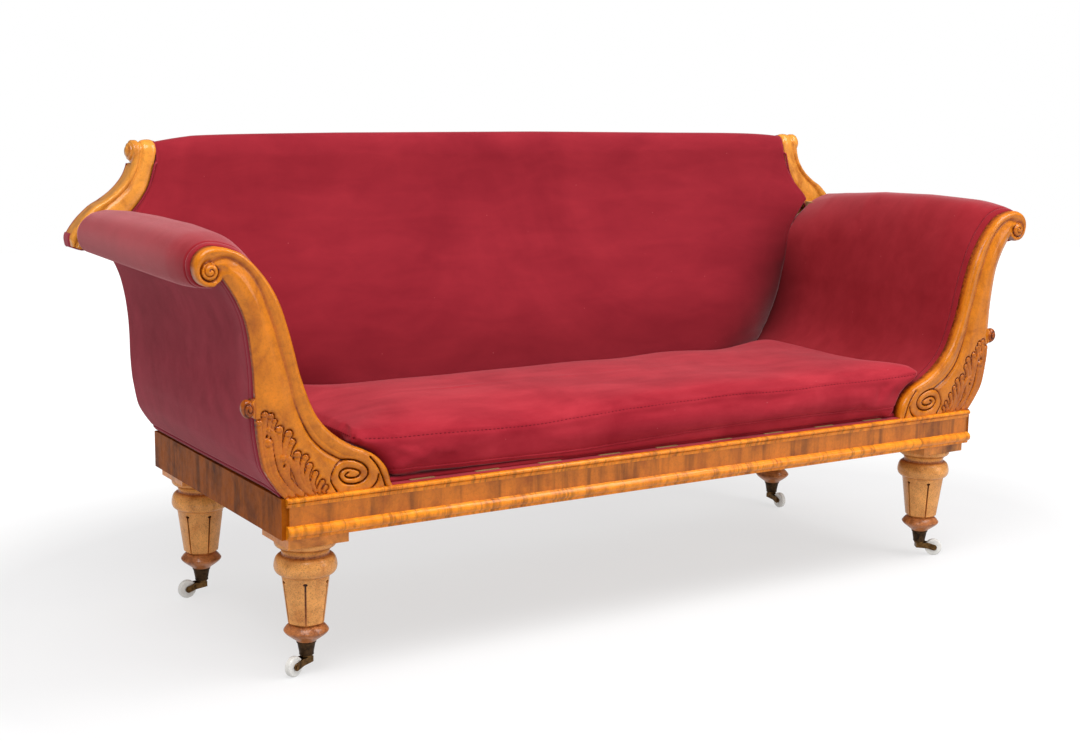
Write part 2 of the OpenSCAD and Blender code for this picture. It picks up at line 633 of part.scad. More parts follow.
function pad_outer(crown) = concat(pad_outer_low(crown), along(proud(roll_path, crown), pad_upper_n));
pad_inner = concat(pad_inner_low, bar_path);
// Shares of the run behind the show-wood and of the crown that the cloth has reached there
crown_run = 24;
pad_station_shares = [[0, 0.3], [0.125, 0.72], [0.42, 0.95], [1, 1]];
module arm_pad() color(cloth) {
    front = concat(
        [for (s = pad_station_shares)
            [for (p = pad_outer(arm_crown * s.y)) [p.x, panel_back_y + crown_run * s.x, p.y]]],
        [[for (p = pad_outer(arm_crown)) [p.x, pad_end(p.y), p.y]]]);
    back = concat(
        [for (s = pad_station_shares) [for (p = pad_inner) [p.x, panel_back_y + crown_run * s.x, p.y]]],
        [[for (p = pad_inner) [p.x, pad_end(p.y), p.y]]]);
    slab(front, back);
}
function pad_end(z) = min(post_face(z), ear_y) - rest_gap;

module arm_outside() color(cloth)
    board(panel_back_y, ear_y - rest_gap - panel_back_y)
        polygon(concat(below(outer_edge, bar_low - over), flipped(below(side_inner, bar_low - over))));

// The show-wood ears of the back
ear_outer = spline(by_shares(ear_outer_shares, ear_foot, ear_size), 2);
ear_inner = spline(by_shares(ear_inner_shares, ear_foot, ear_size), 2);
ear_profile_shares = [[0, 0.2], [0.12, 0.85], [0.32, 1], [0.55, 0.75], [0.68, 0.1], [0.76, 0.15], [0.88, 0.8],
    [1, 0.3]];
roll_z = post_top + ear_roll_r;
roll_y = ear_y + ear_roll_r;
ear_relief = 6;
roll_end = 230;
roll_rows = 11;
roll_core = 6;
conch_h = 13;
conch_shares = [[0, 1], [0.385, 0.86], [0.77, 0.5], [1, 0.28]];
module back_ear() color(wood) {
    n = len(ear_outer);
    foot_front = [for (i = [0:n - 1]) [for (p = ear_profile_shares)
        let (q = mix(ear_inner[i], ear_outer[i], p.x))
        [q.x, ear_y + ear_relief * (1 - p.y), q.y]]];
    foot_back = [for (row = foot_front) [for (p = row) [p.x, post_front_top, p.z]]];
    top_front = [for (k = [1:roll_rows]) let (a = roll_end * k / roll_rows) [for (p = ear_profile_shares)
        let (r = ear_roll_r - ear_relief * (1 - p.y))
        [mix(ear_inner[n - 1].x, ear_outer[n - 1].x, p.x), roll_y - r * cos(a), roll_z + r * sin(a)]]];
    top_back = [for (k = [1:roll_rows]) let (a = roll_end * k / roll_rows) [for (p = ear_profile_shares)
        [mix(ear_inner[n - 1].x, ear_outer[n - 1].x, p.x), roll_y - roll_core * cos(a),
            roll_z + roll_core * sin(a)]]];
    slab(concat(foot_front, top_front), concat(foot_back, top_back));
    translate([0, roll_y, roll_z]) rotate([0, 90, 0]) rotate_extrude() polygon(concat(
        [[0, ear_inner[n - 1].x + over], [roll_core + over, ear_inner[n - 1].x + over]],
        [[roll_core + over, ear_outer[n - 1].x - 2 * over]],
        [[ear_roll_r - over, ear_outer[n - 1].x - 2 * over]],
        [for (i = [1:len(conch_shares) - 1]) each [
            [(ear_roll_r - over) * conch_shares[i].y, ear_outer[n - 1].x + conch_h * conch_shares[i - 1].x],
            [(ear_roll_r - over) * conch_shares[i].y, ear_outer[n - 1].x + conch_h * conch_shares[i].x]]],
        [[0, ear_outer[n - 1].x + conch_h]]));
}

// The back frame
post_clear = 3;
post_inset = arm_side_t + post_clear;
foot_step = 6;
post_in_share = 0.457;
post_in_x = toe_x + arm_reach * post_in_share;
back_edge = concat(
    [[beside(outer_edge, post_inset)[0].x, rail_top]],
    [for (p = below(beside(outer_edge, post_inset), rail_top + arm_h * 0.8)) if (p.y > rail_top + over) p],
    flipped(below(ear_inner, ear_foot.y + foot_step)),
    [for (p = below(ear_outer, post_top)) p - [over, 0]],
    [[ear_outer[len(ear_outer) - 1].x, post_top]]);
module lean_slab(y_from, y_to, z_low, z_high)
    rail(-2 * leg_x, 4 * leg_x) polygon([
        [post_face(z_low) + y_from, z_low], [post_face(z_low) + y_to, z_low],
        [post_face(lean_top) + y_to, lean_top], [post_face(z_high) + y_to, z_high],
        [post_face(z_high) + y_from, z_high], [post_face(lean_top) + y_from, lean_top]]);
module back_post() color(deal)
    intersection() {
        board(front_y, 2 * out_back_y)
            polygon(concat([[post_in_x, rail_top]], back_edge, [[post_in_x, post_top]]));
        lean_slab(0, post_t, rail_top, post_top);
    }
top_rail_h = 50;
stay_z = 105;
stay_h = 45;
module back_top_rail() color(deal)
    block([-post_in_x, post_front_top, post_top - top_rail_h], [post_in_x, post_front_top + post_t, post_top]);
module back_stay_rail() color(deal)
    rail(-post_in_x, 2 * post_in_x) polygon([for (q = [[stay_z, 0], [stay_z, post_t], [stay_z + stay_h, post_t],
        [stay_z + stay_h, 0]]) [post_face(rail_top + q.x) + q.y, rail_top + q.x]]);
muntin_w = 50;
module back_muntin() color(deal)
    intersection() {
        block([-muntin_w / 2, front_y, rail_top + stay_z + stay_h],
            [muntin_w / 2, 2 * out_back_y, post_top - top_rail_h]);
        lean_slab(0, post_t, rail_top + stay_z + stay_h, post_top - top_rail_h);
    }

module back_outside() color(cloth)
    intersection() {
        board(front_y, 2 * out_back_y) polygon(concat(back_edge, [for (p = flipped(back_edge)) [-p.x, p.y]]));
        lean_slab(post_t + rest_gap, post_t + rest_gap + outback_t, rail_top, post_top);
    }

// The stuffed back: its front face by shares of the height, and its roll over the top rail
back_face_shares = [[0, 0.98], [0.06, 1], [0.14, 0.99], [0.22, 0.87], [0.34, 0.7], [0.46, 0.535], [0.58, 0.38],
    [0.7, 0.21], [0.8, 0.11], [0.9, 0.03], [1, 0]];
back_cols = 15;
edge_drop = 16;
function column(c) = sin(90 * (2 * c / (back_cols - 1) - 1));
// Half widths between the arms are those of the arms' own cloth, and above them those of the ears
arm_sides = pad_outer_low(arm_crown);
ear_clear = 2;
ear_side_z = ear_foot.y + ear_size.y * 0.15;
back_sides = concat(
    [for (p = arm_sides) if (p.y < ear_side_z - over) [p.x - rest_gap, p.y]],
    [for (i = [0:2:len(ear_inner) - 1]) let (p = ear_inner[i]) if (p.y > ear_side_z && p.y < post_top)
        [min(p.x - ear_clear, x_at(arm_sides, p.y) - rest_gap), p.y]]);
ear_top_x = ear_inner[len(ear_inner) - 1].x - ear_clear;
top_roll_shares = [[0.06, -0.02], [0.3, 0.6], [0.62, 0.93], [1.1, 1], [1.6, 0.86], [1.92, 0.5], [2, 0.1]];
back_face_low = post_front_low - back_pad_low;
back_face_top = post_front_top - back_pad_top;
function back_face(z) = mix(back_face_top, back_face_low,
    lookup((z - pad_foot) / (post_top - pad_foot), back_face_shares));
module back_pad() color(cloth) {
    rows = len(back_sides);
    behind = post_front_top + post_t + outback_t;
    roll = [for (s = top_roll_shares) [mix(back_face_top, behind, s.x / 2), mix(post_top, top_z, s.y)]];
    front_line = concat([for (p = back_sides) [back_face(p.y), p.y, p.x]],
        [for (p = roll) [p.x, p.y, ear_top_x]]);
    back_line = concat([for (p = back_sides) [post_face(p.y) - rest_gap, p.y, p.x]],
        [for (i = [0:len(roll) - 1]) [mix(post_front_top - rest_gap, behind - over, i / (len(roll) - 1)),
            post_top + rest_gap, ear_top_x]]);
    front = [for (i = [0:len(front_line) - 1]) let (p = front_line[i], drop = i < rows ? edge_drop : 0)
        [for (c = [0:back_cols - 1]) [column(c) * p.z, p.x + drop * pow(abs(column(c)), 12), p.y]]];
    back = [for (p = back_line) [for (c = [0:back_cols - 1]) [column(c) * p.z, p.x, p.y]]];
    slab(front, back);
}

web_rows = 5;
web_cols = 9;
module seat_webbing() color(jute) {
    for (k = [0:web_cols - 1]) let (x = mix(-toe_x, toe_x, (k + 0.5) / web_cols))
        block([x - web_w / 2, front_y + rail_t / 3, rail_top],
            [x + web_w / 2, back_in_y + rail_t / 2, rail_top + web_t]);
    for (k = [0:web_rows - 1]) let (y = mix(front_in_y + block_w, back_in_y - block_w, (k + 0.5) / web_rows))
        block([-side_in_x - rail_t / 4, y - web_w / 2, rail_top + web_t],
            [side_in_x + rail_t / 4, y + web_w / 2, web_top]);
}
deck_clear = 2;
deck_x = toe_x - deck_clear;
deck_back = post_front_low - back_pad_low - over;
module seat_deck() color(cloth)
    rail(-deck_x, 2 * deck_x) polygon([[front_y, rail_top], [front_y + rail_t / 3 - over, rail_top],
        [front_y + rail_t / 3 - over, web_top], [deck_back, web_top], [deck_back, deck_top],
        [front_y, deck_top]]);

// The loose squab: boxed, piped and crowned
cushion_ring_n = 56;
cushion_inset = 3;
cushion_front = front_y + cushion_inset;
cushion_low = deck_top + rest_gap;
arm_clear_low = 4;
arm_clear_top = 34;
function squab_half(z) =
    inner_x(z) - mix(arm_clear_low, arm_clear_top, pow(max(0, z - deck_top) / cushion_h, 2));
// A rectangle with rounded corners, its points shared out by length
function squab_ring(half_x, half_y, z, round) =
    let (corners = [[1, -1], [1, 1], [-1, 1], [-1, -1]],
        loop = [for (i = [0:3], a = [-90:30:0]) let (c = corners[i])
            [c.x * (half_x - round) + round * cos(a + 90 * i),
                c.y * (half_y - round) + round * sin(a + 90 * i)]],
        even = along(concat(loop, [loop[0]]), cushion_ring_n + 1))
    [for (i = [0:cushion_ring_n - 1]) [even[i].x, even[i].y + cushion_front + cushion_d / 2, z]];
// Shares of the height and of the drawn-in edge for each ring of the boxing, then of the size and the crown
edge_in = 14;
squab_corner = 30;
boxing_shares = [[0, 1], [0.04, 0.21], [0.3, 0], [0.7, 0], [0.96, 0.07], [1, 0.5]];
crown_shares = [[0.93, 0.3], [0.84, 0.58], [0.68, 0.84], [0.45, 0.97], [0.2, 1]];
module seat_cushion() color(cloth) {
    rings = concat(
        [for (s = boxing_shares) let (z = mix(cushion_low, cushion_low + cushion_h, s.x))
            squab_ring(squab_half(z) - edge_in * s.y, cushion_d / 2 - edge_in * s.y, z, squab_corner)],
        [for (s = crown_shares) let (z = cushion_low + cushion_h + cushion_crown * s.y,
                half = squab_half(cushion_low + cushion_h) - edge_in / 2)
            squab_ring(half - (1 - s.x) * cushion_d / 2, s.x * (cushion_d - edge_in) / 2, z,
                squab_corner * s.x)]);
    stack(rings);
}

placed() front_rail();
placed() front_frieze();
placed() rail_top_bead();
placed() rail_torus();
placed() back_rail();
placed() left() side_rail();  // side_rail_left
placed() side_rail();  // side_rail_right
placed() seat_bearers();
placed() corner_blocks();
leg_places = [[-leg_x, 0], [-leg_x, leg_depth], [leg_x, 0], [leg_x, leg_depth]];
module corner(i) placed() translate(leg_places[i]) children();
module leg_corner(i) corner(i) leg(-90 - leg_flute_turns[i]);
module swivel_corner(i) corner(i) rotate([0, 0, caster_turns[i]]) children();
corner(0) tablet();  // tablet_front_left
corner(1) tablet();  // tablet_back_left
corner(2) tablet();  // tablet_front_right
corner(3) tablet();  // tablet_back_right
leg_corner(0);  // leg_front_left
leg_corner(1);  // leg_back_left
leg_corner(2);  // leg_front_right
leg_corner(3);  // leg_back_right
corner(0) cup();  // cup_front_left
corner(1) cup();  // cup_back_left
corner(2) cup();  // cup_front_right
corner(3) cup();  // cup_back_right
swivel_corner(0) horn();  // horn_front_left
swivel_corner(1) horn();  // horn_back_left
swivel_corner(2) horn();  // horn_front_right
swivel_corner(3) horn();  // horn_back_right
swivel_corner(0) wheel();  // wheel_front_left
swivel_corner(1) wheel();  // wheel_back_left
swivel_corner(2) wheel();  // wheel_front_right
swivel_corner(3) wheel();  // wheel_back_right
swivel_corner(0) axle();  // axle_front_left
swivel_corner(1) axle();  // axle_back_left
swivel_corner(2) axle();  // axle_front_right
swivel_corner(3) axle();  // axle_back_right
placed() left() arm_front();  // arm_front_left
placed() arm_front();  // arm_front_right
placed() left() arm_stump();  // arm_stump_left
placed() arm_stump();  // arm_stump_right
placed() left() arm_back_stump();  // arm_back_stump_left
placed() arm_back_stump();  // arm_back_stump_right
placed() left() arm_top_rail();  // arm_top_rail_left
placed() arm_top_rail();  // arm_top_rail_right
placed() left() arm_pad();  // arm_pad_left
placed() arm_pad();  // arm_pad_right
placed() left() arm_outside();  // arm_outside_left
placed() arm_outside();  // arm_outside_right
placed() left() back_ear();  // back_ear_left
placed() back_ear();  // back_ear_right
placed() left() back_post();  // back_post_left
placed() back_post();  // back_post_right
placed() back_top_rail();
placed() back_stay_rail();
placed() back_muntin();
placed() back_pad();
placed() back_outside();
placed() seat_webbing();
placed() seat_deck();
placed() seat_cushion();
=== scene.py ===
"""A scroll-arm sofa in polished maple and crimson velvet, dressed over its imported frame."""

import math

import bmesh
import bpy
import numpy as np
from mathutils import Matrix, Vector
from mathutils.bvhtree import BVHTree


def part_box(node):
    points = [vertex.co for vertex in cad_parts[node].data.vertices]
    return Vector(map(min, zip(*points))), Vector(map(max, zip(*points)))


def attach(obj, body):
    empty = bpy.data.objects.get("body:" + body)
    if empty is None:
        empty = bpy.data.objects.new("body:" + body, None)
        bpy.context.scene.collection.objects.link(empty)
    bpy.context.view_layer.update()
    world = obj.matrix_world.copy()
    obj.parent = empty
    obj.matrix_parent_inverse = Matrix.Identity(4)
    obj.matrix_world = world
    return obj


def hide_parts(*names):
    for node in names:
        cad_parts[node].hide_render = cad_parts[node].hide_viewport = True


bl_info = {
    "name": "Scroll-arm sofa",
    "version": (1, 0, 0),
    "blender": (4, 5, 0),
    "location": "View3D > Sidebar > Sofa",
    "description": "Carves, turns, upholsters and lights a scroll-arm sofa around its packed frame",
    "category": "Object",
}

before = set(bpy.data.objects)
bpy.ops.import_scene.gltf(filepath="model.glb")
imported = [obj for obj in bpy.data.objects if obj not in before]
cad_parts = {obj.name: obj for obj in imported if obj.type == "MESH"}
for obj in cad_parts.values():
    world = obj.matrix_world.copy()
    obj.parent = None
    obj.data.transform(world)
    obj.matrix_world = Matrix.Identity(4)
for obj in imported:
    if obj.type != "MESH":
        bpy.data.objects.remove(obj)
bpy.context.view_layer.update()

# Lengths below are in millimetres. X is measured from the middle, Y from the front leg axes, Z from the floor.
# An arm's lines are drawn from the front, as shares of its reach and height (ARM) from its lower inner end (TOE).
RAIL_FACE = -63.0
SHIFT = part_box("front_rail")[0].y * 1000 - RAIL_FACE
TOE = np.array([631.0, 349.0])
ARM = np.array([370.0, 452.0])
PANEL_BACK = -41.0
CARVING_GROUND = -60.5
EYE = np.array([0.918, 0.902]) * ARM
LEG_PLACES = {"front_left": (-775, 0), "back_left": (-775, 530), "front_right": (775, 0), "back_right": (775, 530)}
FLUTE_TURNS = {"front_left": 25, "back_left": -4.5, "front_right": 27, "back_right": 10}
SIDES = ("left", "right")
MIRROR = Matrix.Scale(-1, 4, (1, 0, 0))
BORDER_SEAM = 14.2

INNER_SHARES = [(0, 0), (.01, .045), (.032, .085), (.08, .127), (.141, .156), (.212, .182), (.29, .224),
                (.355, .273), (.403, .328), (.437, .39), (.479, .489), (.506, .578), (.543, .687), (.586, .784),
                (.657, .878), (.751, .957), (.84, .988)]
OUTER_SHARES = [(.568, 0), (.603, .035), (.642, .08), (.672, .125), (.686, .17), (.696, .22), (.704, .268),
                (.71, .36), (.712, .46), (.721, .56), (.747, .695), (.793, .79), (.857, .872)]


# Curves

def spline(points, steps):
    """A smooth curve through the points, with the same number of steps between each two."""
    p = np.asarray(points, float)
    at = lambda i: p[max(0, min(len(p) - 1, i))]
    out = []
    for i in range(len(p) - 1):
        a, b, c, d = at(i - 1), at(i), at(i + 1), at(i + 2)
        for k in range(steps):
            t = k / steps
            out.append(0.5 * (2 * b + (c - a) * t + (2 * a - 5 * b + 4 * c - d) * t * t
                              + (3 * b - a - 3 * c + d) * t ** 3))
    out.append(p[-1])
    return np.array(out)


def measure(path):
    """Distance along the path at each of its points."""
    return np.concatenate([[0], np.cumsum(np.linalg.norm(np.diff(path, axis=0), axis=1))])


def along(path, count, shares=None):
    """Points at even distances along the path, or at the given shares of it."""
    run = measure(path)
    wanted = (np.linspace(0, 1, count) if shares is None else np.asarray(shares)) * run[-1]
    return np.stack([np.interp(wanted, run, path[:, k]) for k in range(path.shape[1])], axis=1)


def normals_beside(path):
    """The direction to the left of the path at each of its points."""
    heading = np.gradient(path, axis=0)
    heading /= np.maximum(np.linalg.norm(heading, axis=1, keepdims=True), 1e-9)
    return np.stack([-heading[:, 1], heading[:, 0]], axis=1)


def nearest(points, path):
    """How far each point is from the path, and at which share of the path."""
    best = np.full(len(points), 1e9)
    where = np.zeros(len(points))
    for i in range(len(path) - 1):
        a, step = path[i], path[i + 1] - path[i]
        t = np.clip((points - a) @ step / max(step @ step, 1e-9), 0, 1)
        d = np.linalg.norm(points - a - t[:, None] * step, axis=1)
        closer = d < best
        best[closer] = d[closer]
        where[closer] = (i + t[closer]) / (len(path) - 1)
    return best, where


def inside(points, outline):
    """Which points lie inside the closed outline."""
    x, y = points[:, 0], points[:, 1]
    found = np.zeros(len(points), bool)
    for (x0, y0), (x1, y1) in zip(outline, np.roll(outline, -1, axis=0)):
        crossing = (y0 > y) != (y1 > y)
        with np.errstate(divide="ignore", invalid="ignore"):
            found ^= crossing & (x < (x1 - x0) * (y - y0) / (y1 - y0) + x0)
    return found


def swell(share):
    """A quarter-round rise from 0 to 1."""
    return np.sqrt(np.clip(1 - (1 - np.clip(share, 0, 1)) ** 2, 0, 1))


def fade(value, start, end):
    """A soft change from 0 at the start to 1 at the end."""
    t = np.clip((value - start) / (end - start), 0, 1)
    return t * t * (3 - 2 * t)


def rumple(points, size, seed):
    """Soft unevenness between about -1 and 1, the same on every run."""
    rng = np.random.RandomState(seed)
    total = np.zeros(len(points))
    for _ in range(7):
        wave = rng.normal(size=3)
        wave *= rng.uniform(0.6, 1.5) * 2 * math.pi / size / np.linalg.norm(wave)
        total += np.sin(points @ wave + rng.uniform(0, 6.28))
    return total / 3.5


# Meshes

MERGE, FINE_MERGE = 0.00002, 0.000001


def metres(points):
    """Workshop millimetres to the frame's metres."""
    moved = np.array(points, float)
    moved[..., 1] += SHIFT
    return moved / 1000


def row(x, y, z):
    """A row of points; a single number stands for the whole row."""
    return np.stack(np.broadcast_arrays(x, y, z), axis=1)


def deselect():
    bpy.ops.object.select_all(action="DESELECT")


def pick(piece):
    """Selects the piece alone and makes it the active one."""
    deselect()
    bpy.context.view_layer.objects.active = piece
    piece.select_set(True)


def apply(piece, modifier):
    """Makes a modifier's result the piece's own mesh."""
    pick(piece)
    bpy.ops.object.modifier_apply(modifier=modifier.name)


def edit(piece):
    """Opens the piece alone in edit mode with its whole mesh selected."""
    pick(piece)
    bpy.ops.object.mode_set(mode="EDIT")
    bpy.ops.mesh.select_all(action="SELECT")


def close_edit():
    bpy.ops.object.mode_set(mode="OBJECT")


def linked(name, data):
    """A new object in the scene with the given mesh, lamp or camera."""
    made = bpy.data.objects.new(name, data)
    bpy.context.collection.objects.link(made)
    return made


def mesh_piece(name, points, faces, merge=MERGE):
    """A piece from points in workshop millimetres, merged and with its faces turned outwards."""
    mesh = bpy.data.meshes.new(name)
    mesh.from_pydata(metres(points).tolist(), [], [list(map(int, f)) for f in faces])
    piece = linked(name, mesh)
    if merge:
        edit(piece)
        bpy.ops.mesh.remove_doubles(threshold=merge)
        bpy.ops.mesh.normals_make_consistent(inside=False)
        close_edit()
    return piece


def grid_faces(rows, cols, first=0, ring=False):
    """Four-sided faces over a grid of points, closed round on itself where it is a ring."""
    r, c = np.meshgrid(np.arange(rows - 1), np.arange(cols if ring else cols - 1), indexing="ij")
    r, c = r.ravel(), c.ravel()
    n = (c + 1) % cols
    return np.stack([r * cols + c, r * cols + n, (r + 1) * cols + n, (r + 1) * cols + c], axis=1) + first


def capped(rows, around):
    """The faces of a stack of rings with both of its ends closed."""
    faces = grid_faces(rows, around, ring=True).tolist()
    return faces + [list(range(around))[::-1], [(rows - 1) * around + c for c in range(around)]]


def slab(name, front, back, merge=MERGE):
    """A closed piece between two grids of points with the same rows and columns."""
    front, back = np.array(front), np.array(back)
    rows, cols = front.shape[:2]
    count = rows * cols
    edge = ([(0, c) for c in range(cols)] + [(r, cols - 1) for r in range(1, rows)]
            + [(rows - 1, c) for c in range(cols - 2, -1, -1)] + [(r, 0) for r in range(rows - 2, 0, -1)])
    rim = [r * cols + c for r, c in edge]
    faces = grid_faces(rows, cols).tolist() + grid_faces(rows, cols, count)[:, ::-1].tolist()
    faces += [[a, a + count, b + count, b] for a, b in zip(rim, rim[1:] + rim[:1])]
    return mesh_piece(name, np.concatenate([front.reshape(-1, 3), back.reshape(-1, 3)]), faces, merge)


def tube(name, path, radius, around=8, closed=False):
    """A round strip of one radius along a path, such as a piping."""
    path = np.asarray(path, float)
    heading = (np.roll(path, -1, axis=0) - np.roll(path, 1, axis=0)) if closed else np.gradient(path, axis=0)
    heading /= np.maximum(np.linalg.norm(heading, axis=1, keepdims=True), 1e-9)
    side = np.cross(heading, [0, 0, 1.0])
    flat = np.linalg.norm(side, axis=1) < 0.2
    side[flat] = np.cross(heading[flat], [0, 1.0, 0])
    for i in range(1, len(side)):
        side[i] -= heading[i] * (side[i] @ heading[i])
        if side[i] @ side[i - 1] < 0:
            side[i] = -side[i]
    side /= np.linalg.norm(side, axis=1, keepdims=True)
    up = np.cross(side, heading)
    a = np.linspace(0, 2 * math.pi, around, endpoint=False)
    spokes = np.cos(a)[None, :, None] * side[:, None] + np.sin(a)[None, :, None] * up[:, None]
    rings = path[:, None] + radius * spokes
    if closed:
        last = (len(path) - 1) * around
        faces = grid_faces(len(path), around, ring=True).tolist()
        faces += [[last + c, last + (c + 1) % around, (c + 1) % around, c] for c in range(around)]
    else:
        faces = capped(len(path), around)
    return mesh_piece(name, rings.reshape(-1, 3), faces, FINE_MERGE)


def turned(name, profile, steps):
    """A turned piece: the profile, radius and height, is spun once round the upright axis."""
    points = [(r / 1000, 0, z / 1000) for r, z in profile]
    mesh = bpy.data.meshes.new(name)
    mesh.from_pydata(points, [(i, i + 1) for i in range(len(points) - 1)], [])
    piece = linked(name, mesh)
    edit(piece)
    bpy.ops.mesh.spin(steps=steps, angle=2 * math.pi, center=(0, 0, 0), axis=(0, 0, 1))
    bpy.ops.mesh.select_all(action="SELECT")
    bpy.ops.mesh.remove_doubles(threshold=0.00001)
    bpy.ops.mesh.normals_make_consistent(inside=False)
    close_edit()
    return piece


def join(name, *parts):
    """Makes one piece of several."""
    deselect()
    for part in parts:
        part.select_set(True)
    bpy.context.view_layer.objects.active = parts[0]
    bpy.ops.object.join()
    parts[0].name = name
    return parts[0]


def cut(piece, *tools):
    """Takes the tools' shapes out of the piece."""
    for tool in tools:
        modifier = piece.modifiers.new("cut", "BOOLEAN")
        modifier.object = tool
        modifier.solver = "EXACT"
        apply(piece, modifier)
        bpy.data.objects.remove(tool)


def smooth(piece, degrees):
    """Shades the piece smooth, with an edge wherever its faces meet more sharply than this."""
    pick(piece)
    bpy.ops.object.shade_smooth_by_angle(angle=math.radians(degrees))


def copied(piece, name, matrix):
    """A copy with its own mesh, set in place by the matrix, its faces still outwards."""
    mesh = piece.data.copy()
    mesh.transform(matrix)
    if matrix.to_3x3().determinant() < 0:
        mesh.flip_normals()
    mesh.name = name
    return linked(name, mesh)


def mark(piece, name, values):
    """Keeps one number for each point of the mesh under a name that a finish can read."""
    layer = piece.data.attributes.new(name, "FLOAT", "POINT")
    layer.data.foreach_set("value", np.asarray(values, np.float32))


def places(piece):
    """The points of a piece in workshop millimetres."""
    flat = np.zeros(len(piece.data.vertices) * 3)
    piece.data.vertices.foreach_get("co", flat)
    points = flat.reshape(-1, 3) * 1000
    points[:, 1] -= SHIFT
    return points


def move_points(piece, points):
    """Puts the points of a piece where they are wanted, in workshop millimetres."""
    piece.data.vertices.foreach_set("co", metres(points).ravel())
    piece.data.update()


def settle(piece, finish, slot, nodes, body="sofa"):
    """Gives the piece its finish, its body and the nodes that it stands for."""
    piece.data.materials.clear()
    piece.data.materials.append(finish)
    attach(piece, body)
    if nodes:
        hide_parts(*nodes)


def settle_pair(right, name, finish, slot, node=None):
    """Settles a piece of the right side, then its mirror image on the left."""
    left = copied(right, name + "left", MIRROR)
    right.name = name + "right"
    for side, piece in (("right", right), ("left", left)):
        settle(piece, finish, slot, [node + side] if node else [])


# Finishes

def shade(red, green, blue):
    """A colour as a paint chart gives it, from 0 to 255, for a light-linear socket."""
    linear = [((c / 255 + 0.055) / 1.055) ** 2.4 if c > 10 else c / 255 / 12.92 for c in (red, green, blue)]
    return (*linear, 1)


class Finish:
    """A procedural finish under construction."""

    def __init__(self, name, **values):
        self.material = bpy.data.materials.new(name)
        self.material.use_nodes = True
        self.tree = self.material.node_tree
        self.tree.nodes.clear()
        self.shader = self.tree.nodes.new("ShaderNodeBsdfPrincipled")
        out = self.tree.nodes.new("ShaderNodeOutputMaterial")
        self.tree.links.new(self.shader.outputs[0], out.inputs[0])
        self.where = self.tree.nodes.new("ShaderNodeTexCoord").outputs["Object"]
        for key, value in values.items():
            self.shader.inputs[key.replace("_", " ")].default_value = value

    def node(self, kind, links, **settings):
        """A node with its inputs set or linked and its options chosen."""
        made = self.tree.nodes.new(kind)
        for key, value in settings.items():
            setattr(made, key, value)
        for key, value in links.items():
            if isinstance(value, bpy.types.NodeSocket):
                self.tree.links.new(value, made.inputs[key])
            else:
                made.inputs[key].default_value = value
        return made

    def stretched(self, scale):
        """The piece's own coordinates, drawn out by a scale along each axis."""
        return self.node("ShaderNodeMapping", {"Vector": self.where, "Scale": scale}).outputs[0]

    def noise(self, scale, detail=4, rough=0.55, twist=0, where=None):
        return self.node("ShaderNodeTexNoise", {"Vector": where or self.where, "Scale": scale, "Detail": detail,
                                                "Roughness": rough, "Distortion": twist}).outputs["Fac"]

    def spots(self, scale, where=None):
        return self.node("ShaderNodeTexVoronoi", {"Vector": where or self.where, "Scale": scale}).outputs["Distance"]

    def attribute(self, name):
        return self.node("ShaderNodeAttribute", {}, attribute_name=name).outputs["Fac"]

    def ramp(self, value, *stops):
        """Colours or greys for a value, from stops that each have a place and a colour or grey."""
        made = self.node("ShaderNodeValToRGB", {"Fac": value})
        steps = made.color_ramp.elements
        while len(steps) < len(stops):
            steps.new(0.5)
        for step, (place, colour) in zip(steps, stops):
            step.position = place
            step.color = colour if isinstance(colour, tuple) else (colour, colour, colour, 1)
        return made.outputs["Color"]

    def mix(self, share, a, b, way="MIX"):
        """Two colours mixed by a share."""
        made = self.tree.nodes.new("ShaderNodeMix")
        made.data_type = "RGBA"
        made.blend_type = way
        for index, value in ((0, share), (6, a), (7, b)):
            if isinstance(value, bpy.types.NodeSocket):
                self.tree.links.new(value, made.inputs[index])
            else:
                made.inputs[index].default_value = value
        return made.outputs[2]

    def sum(self, *pairs):
        """Adds values, each times its own weight."""
        total = None
        for value, weight in pairs:
            part = self.node("ShaderNodeMath", {0: value, 1: weight}, operation="MULTIPLY").outputs[0]
            total = part if total is None else self.node("ShaderNodeMath", {0: total, 1: part}).outputs[0]
        return total

    def finish(self, colour, rough=None, height=None, depth=0.001, strength=0.5):
        """Links colour, roughness and bump to the shader and gives the material."""
        self.tree.links.new(colour, self.shader.inputs["Base Color"])
        if rough is not None:
            self.tree.links.new(rough, self.shader.inputs["Roughness"])
        if height is not None:
            bump = self.node("ShaderNodeBump", {"Height": height, "Distance": depth, "Strength": strength})
            self.tree.links.new(bump.outputs[0], self.shader.inputs["Normal"])
        return self.material


FINISHES = {}


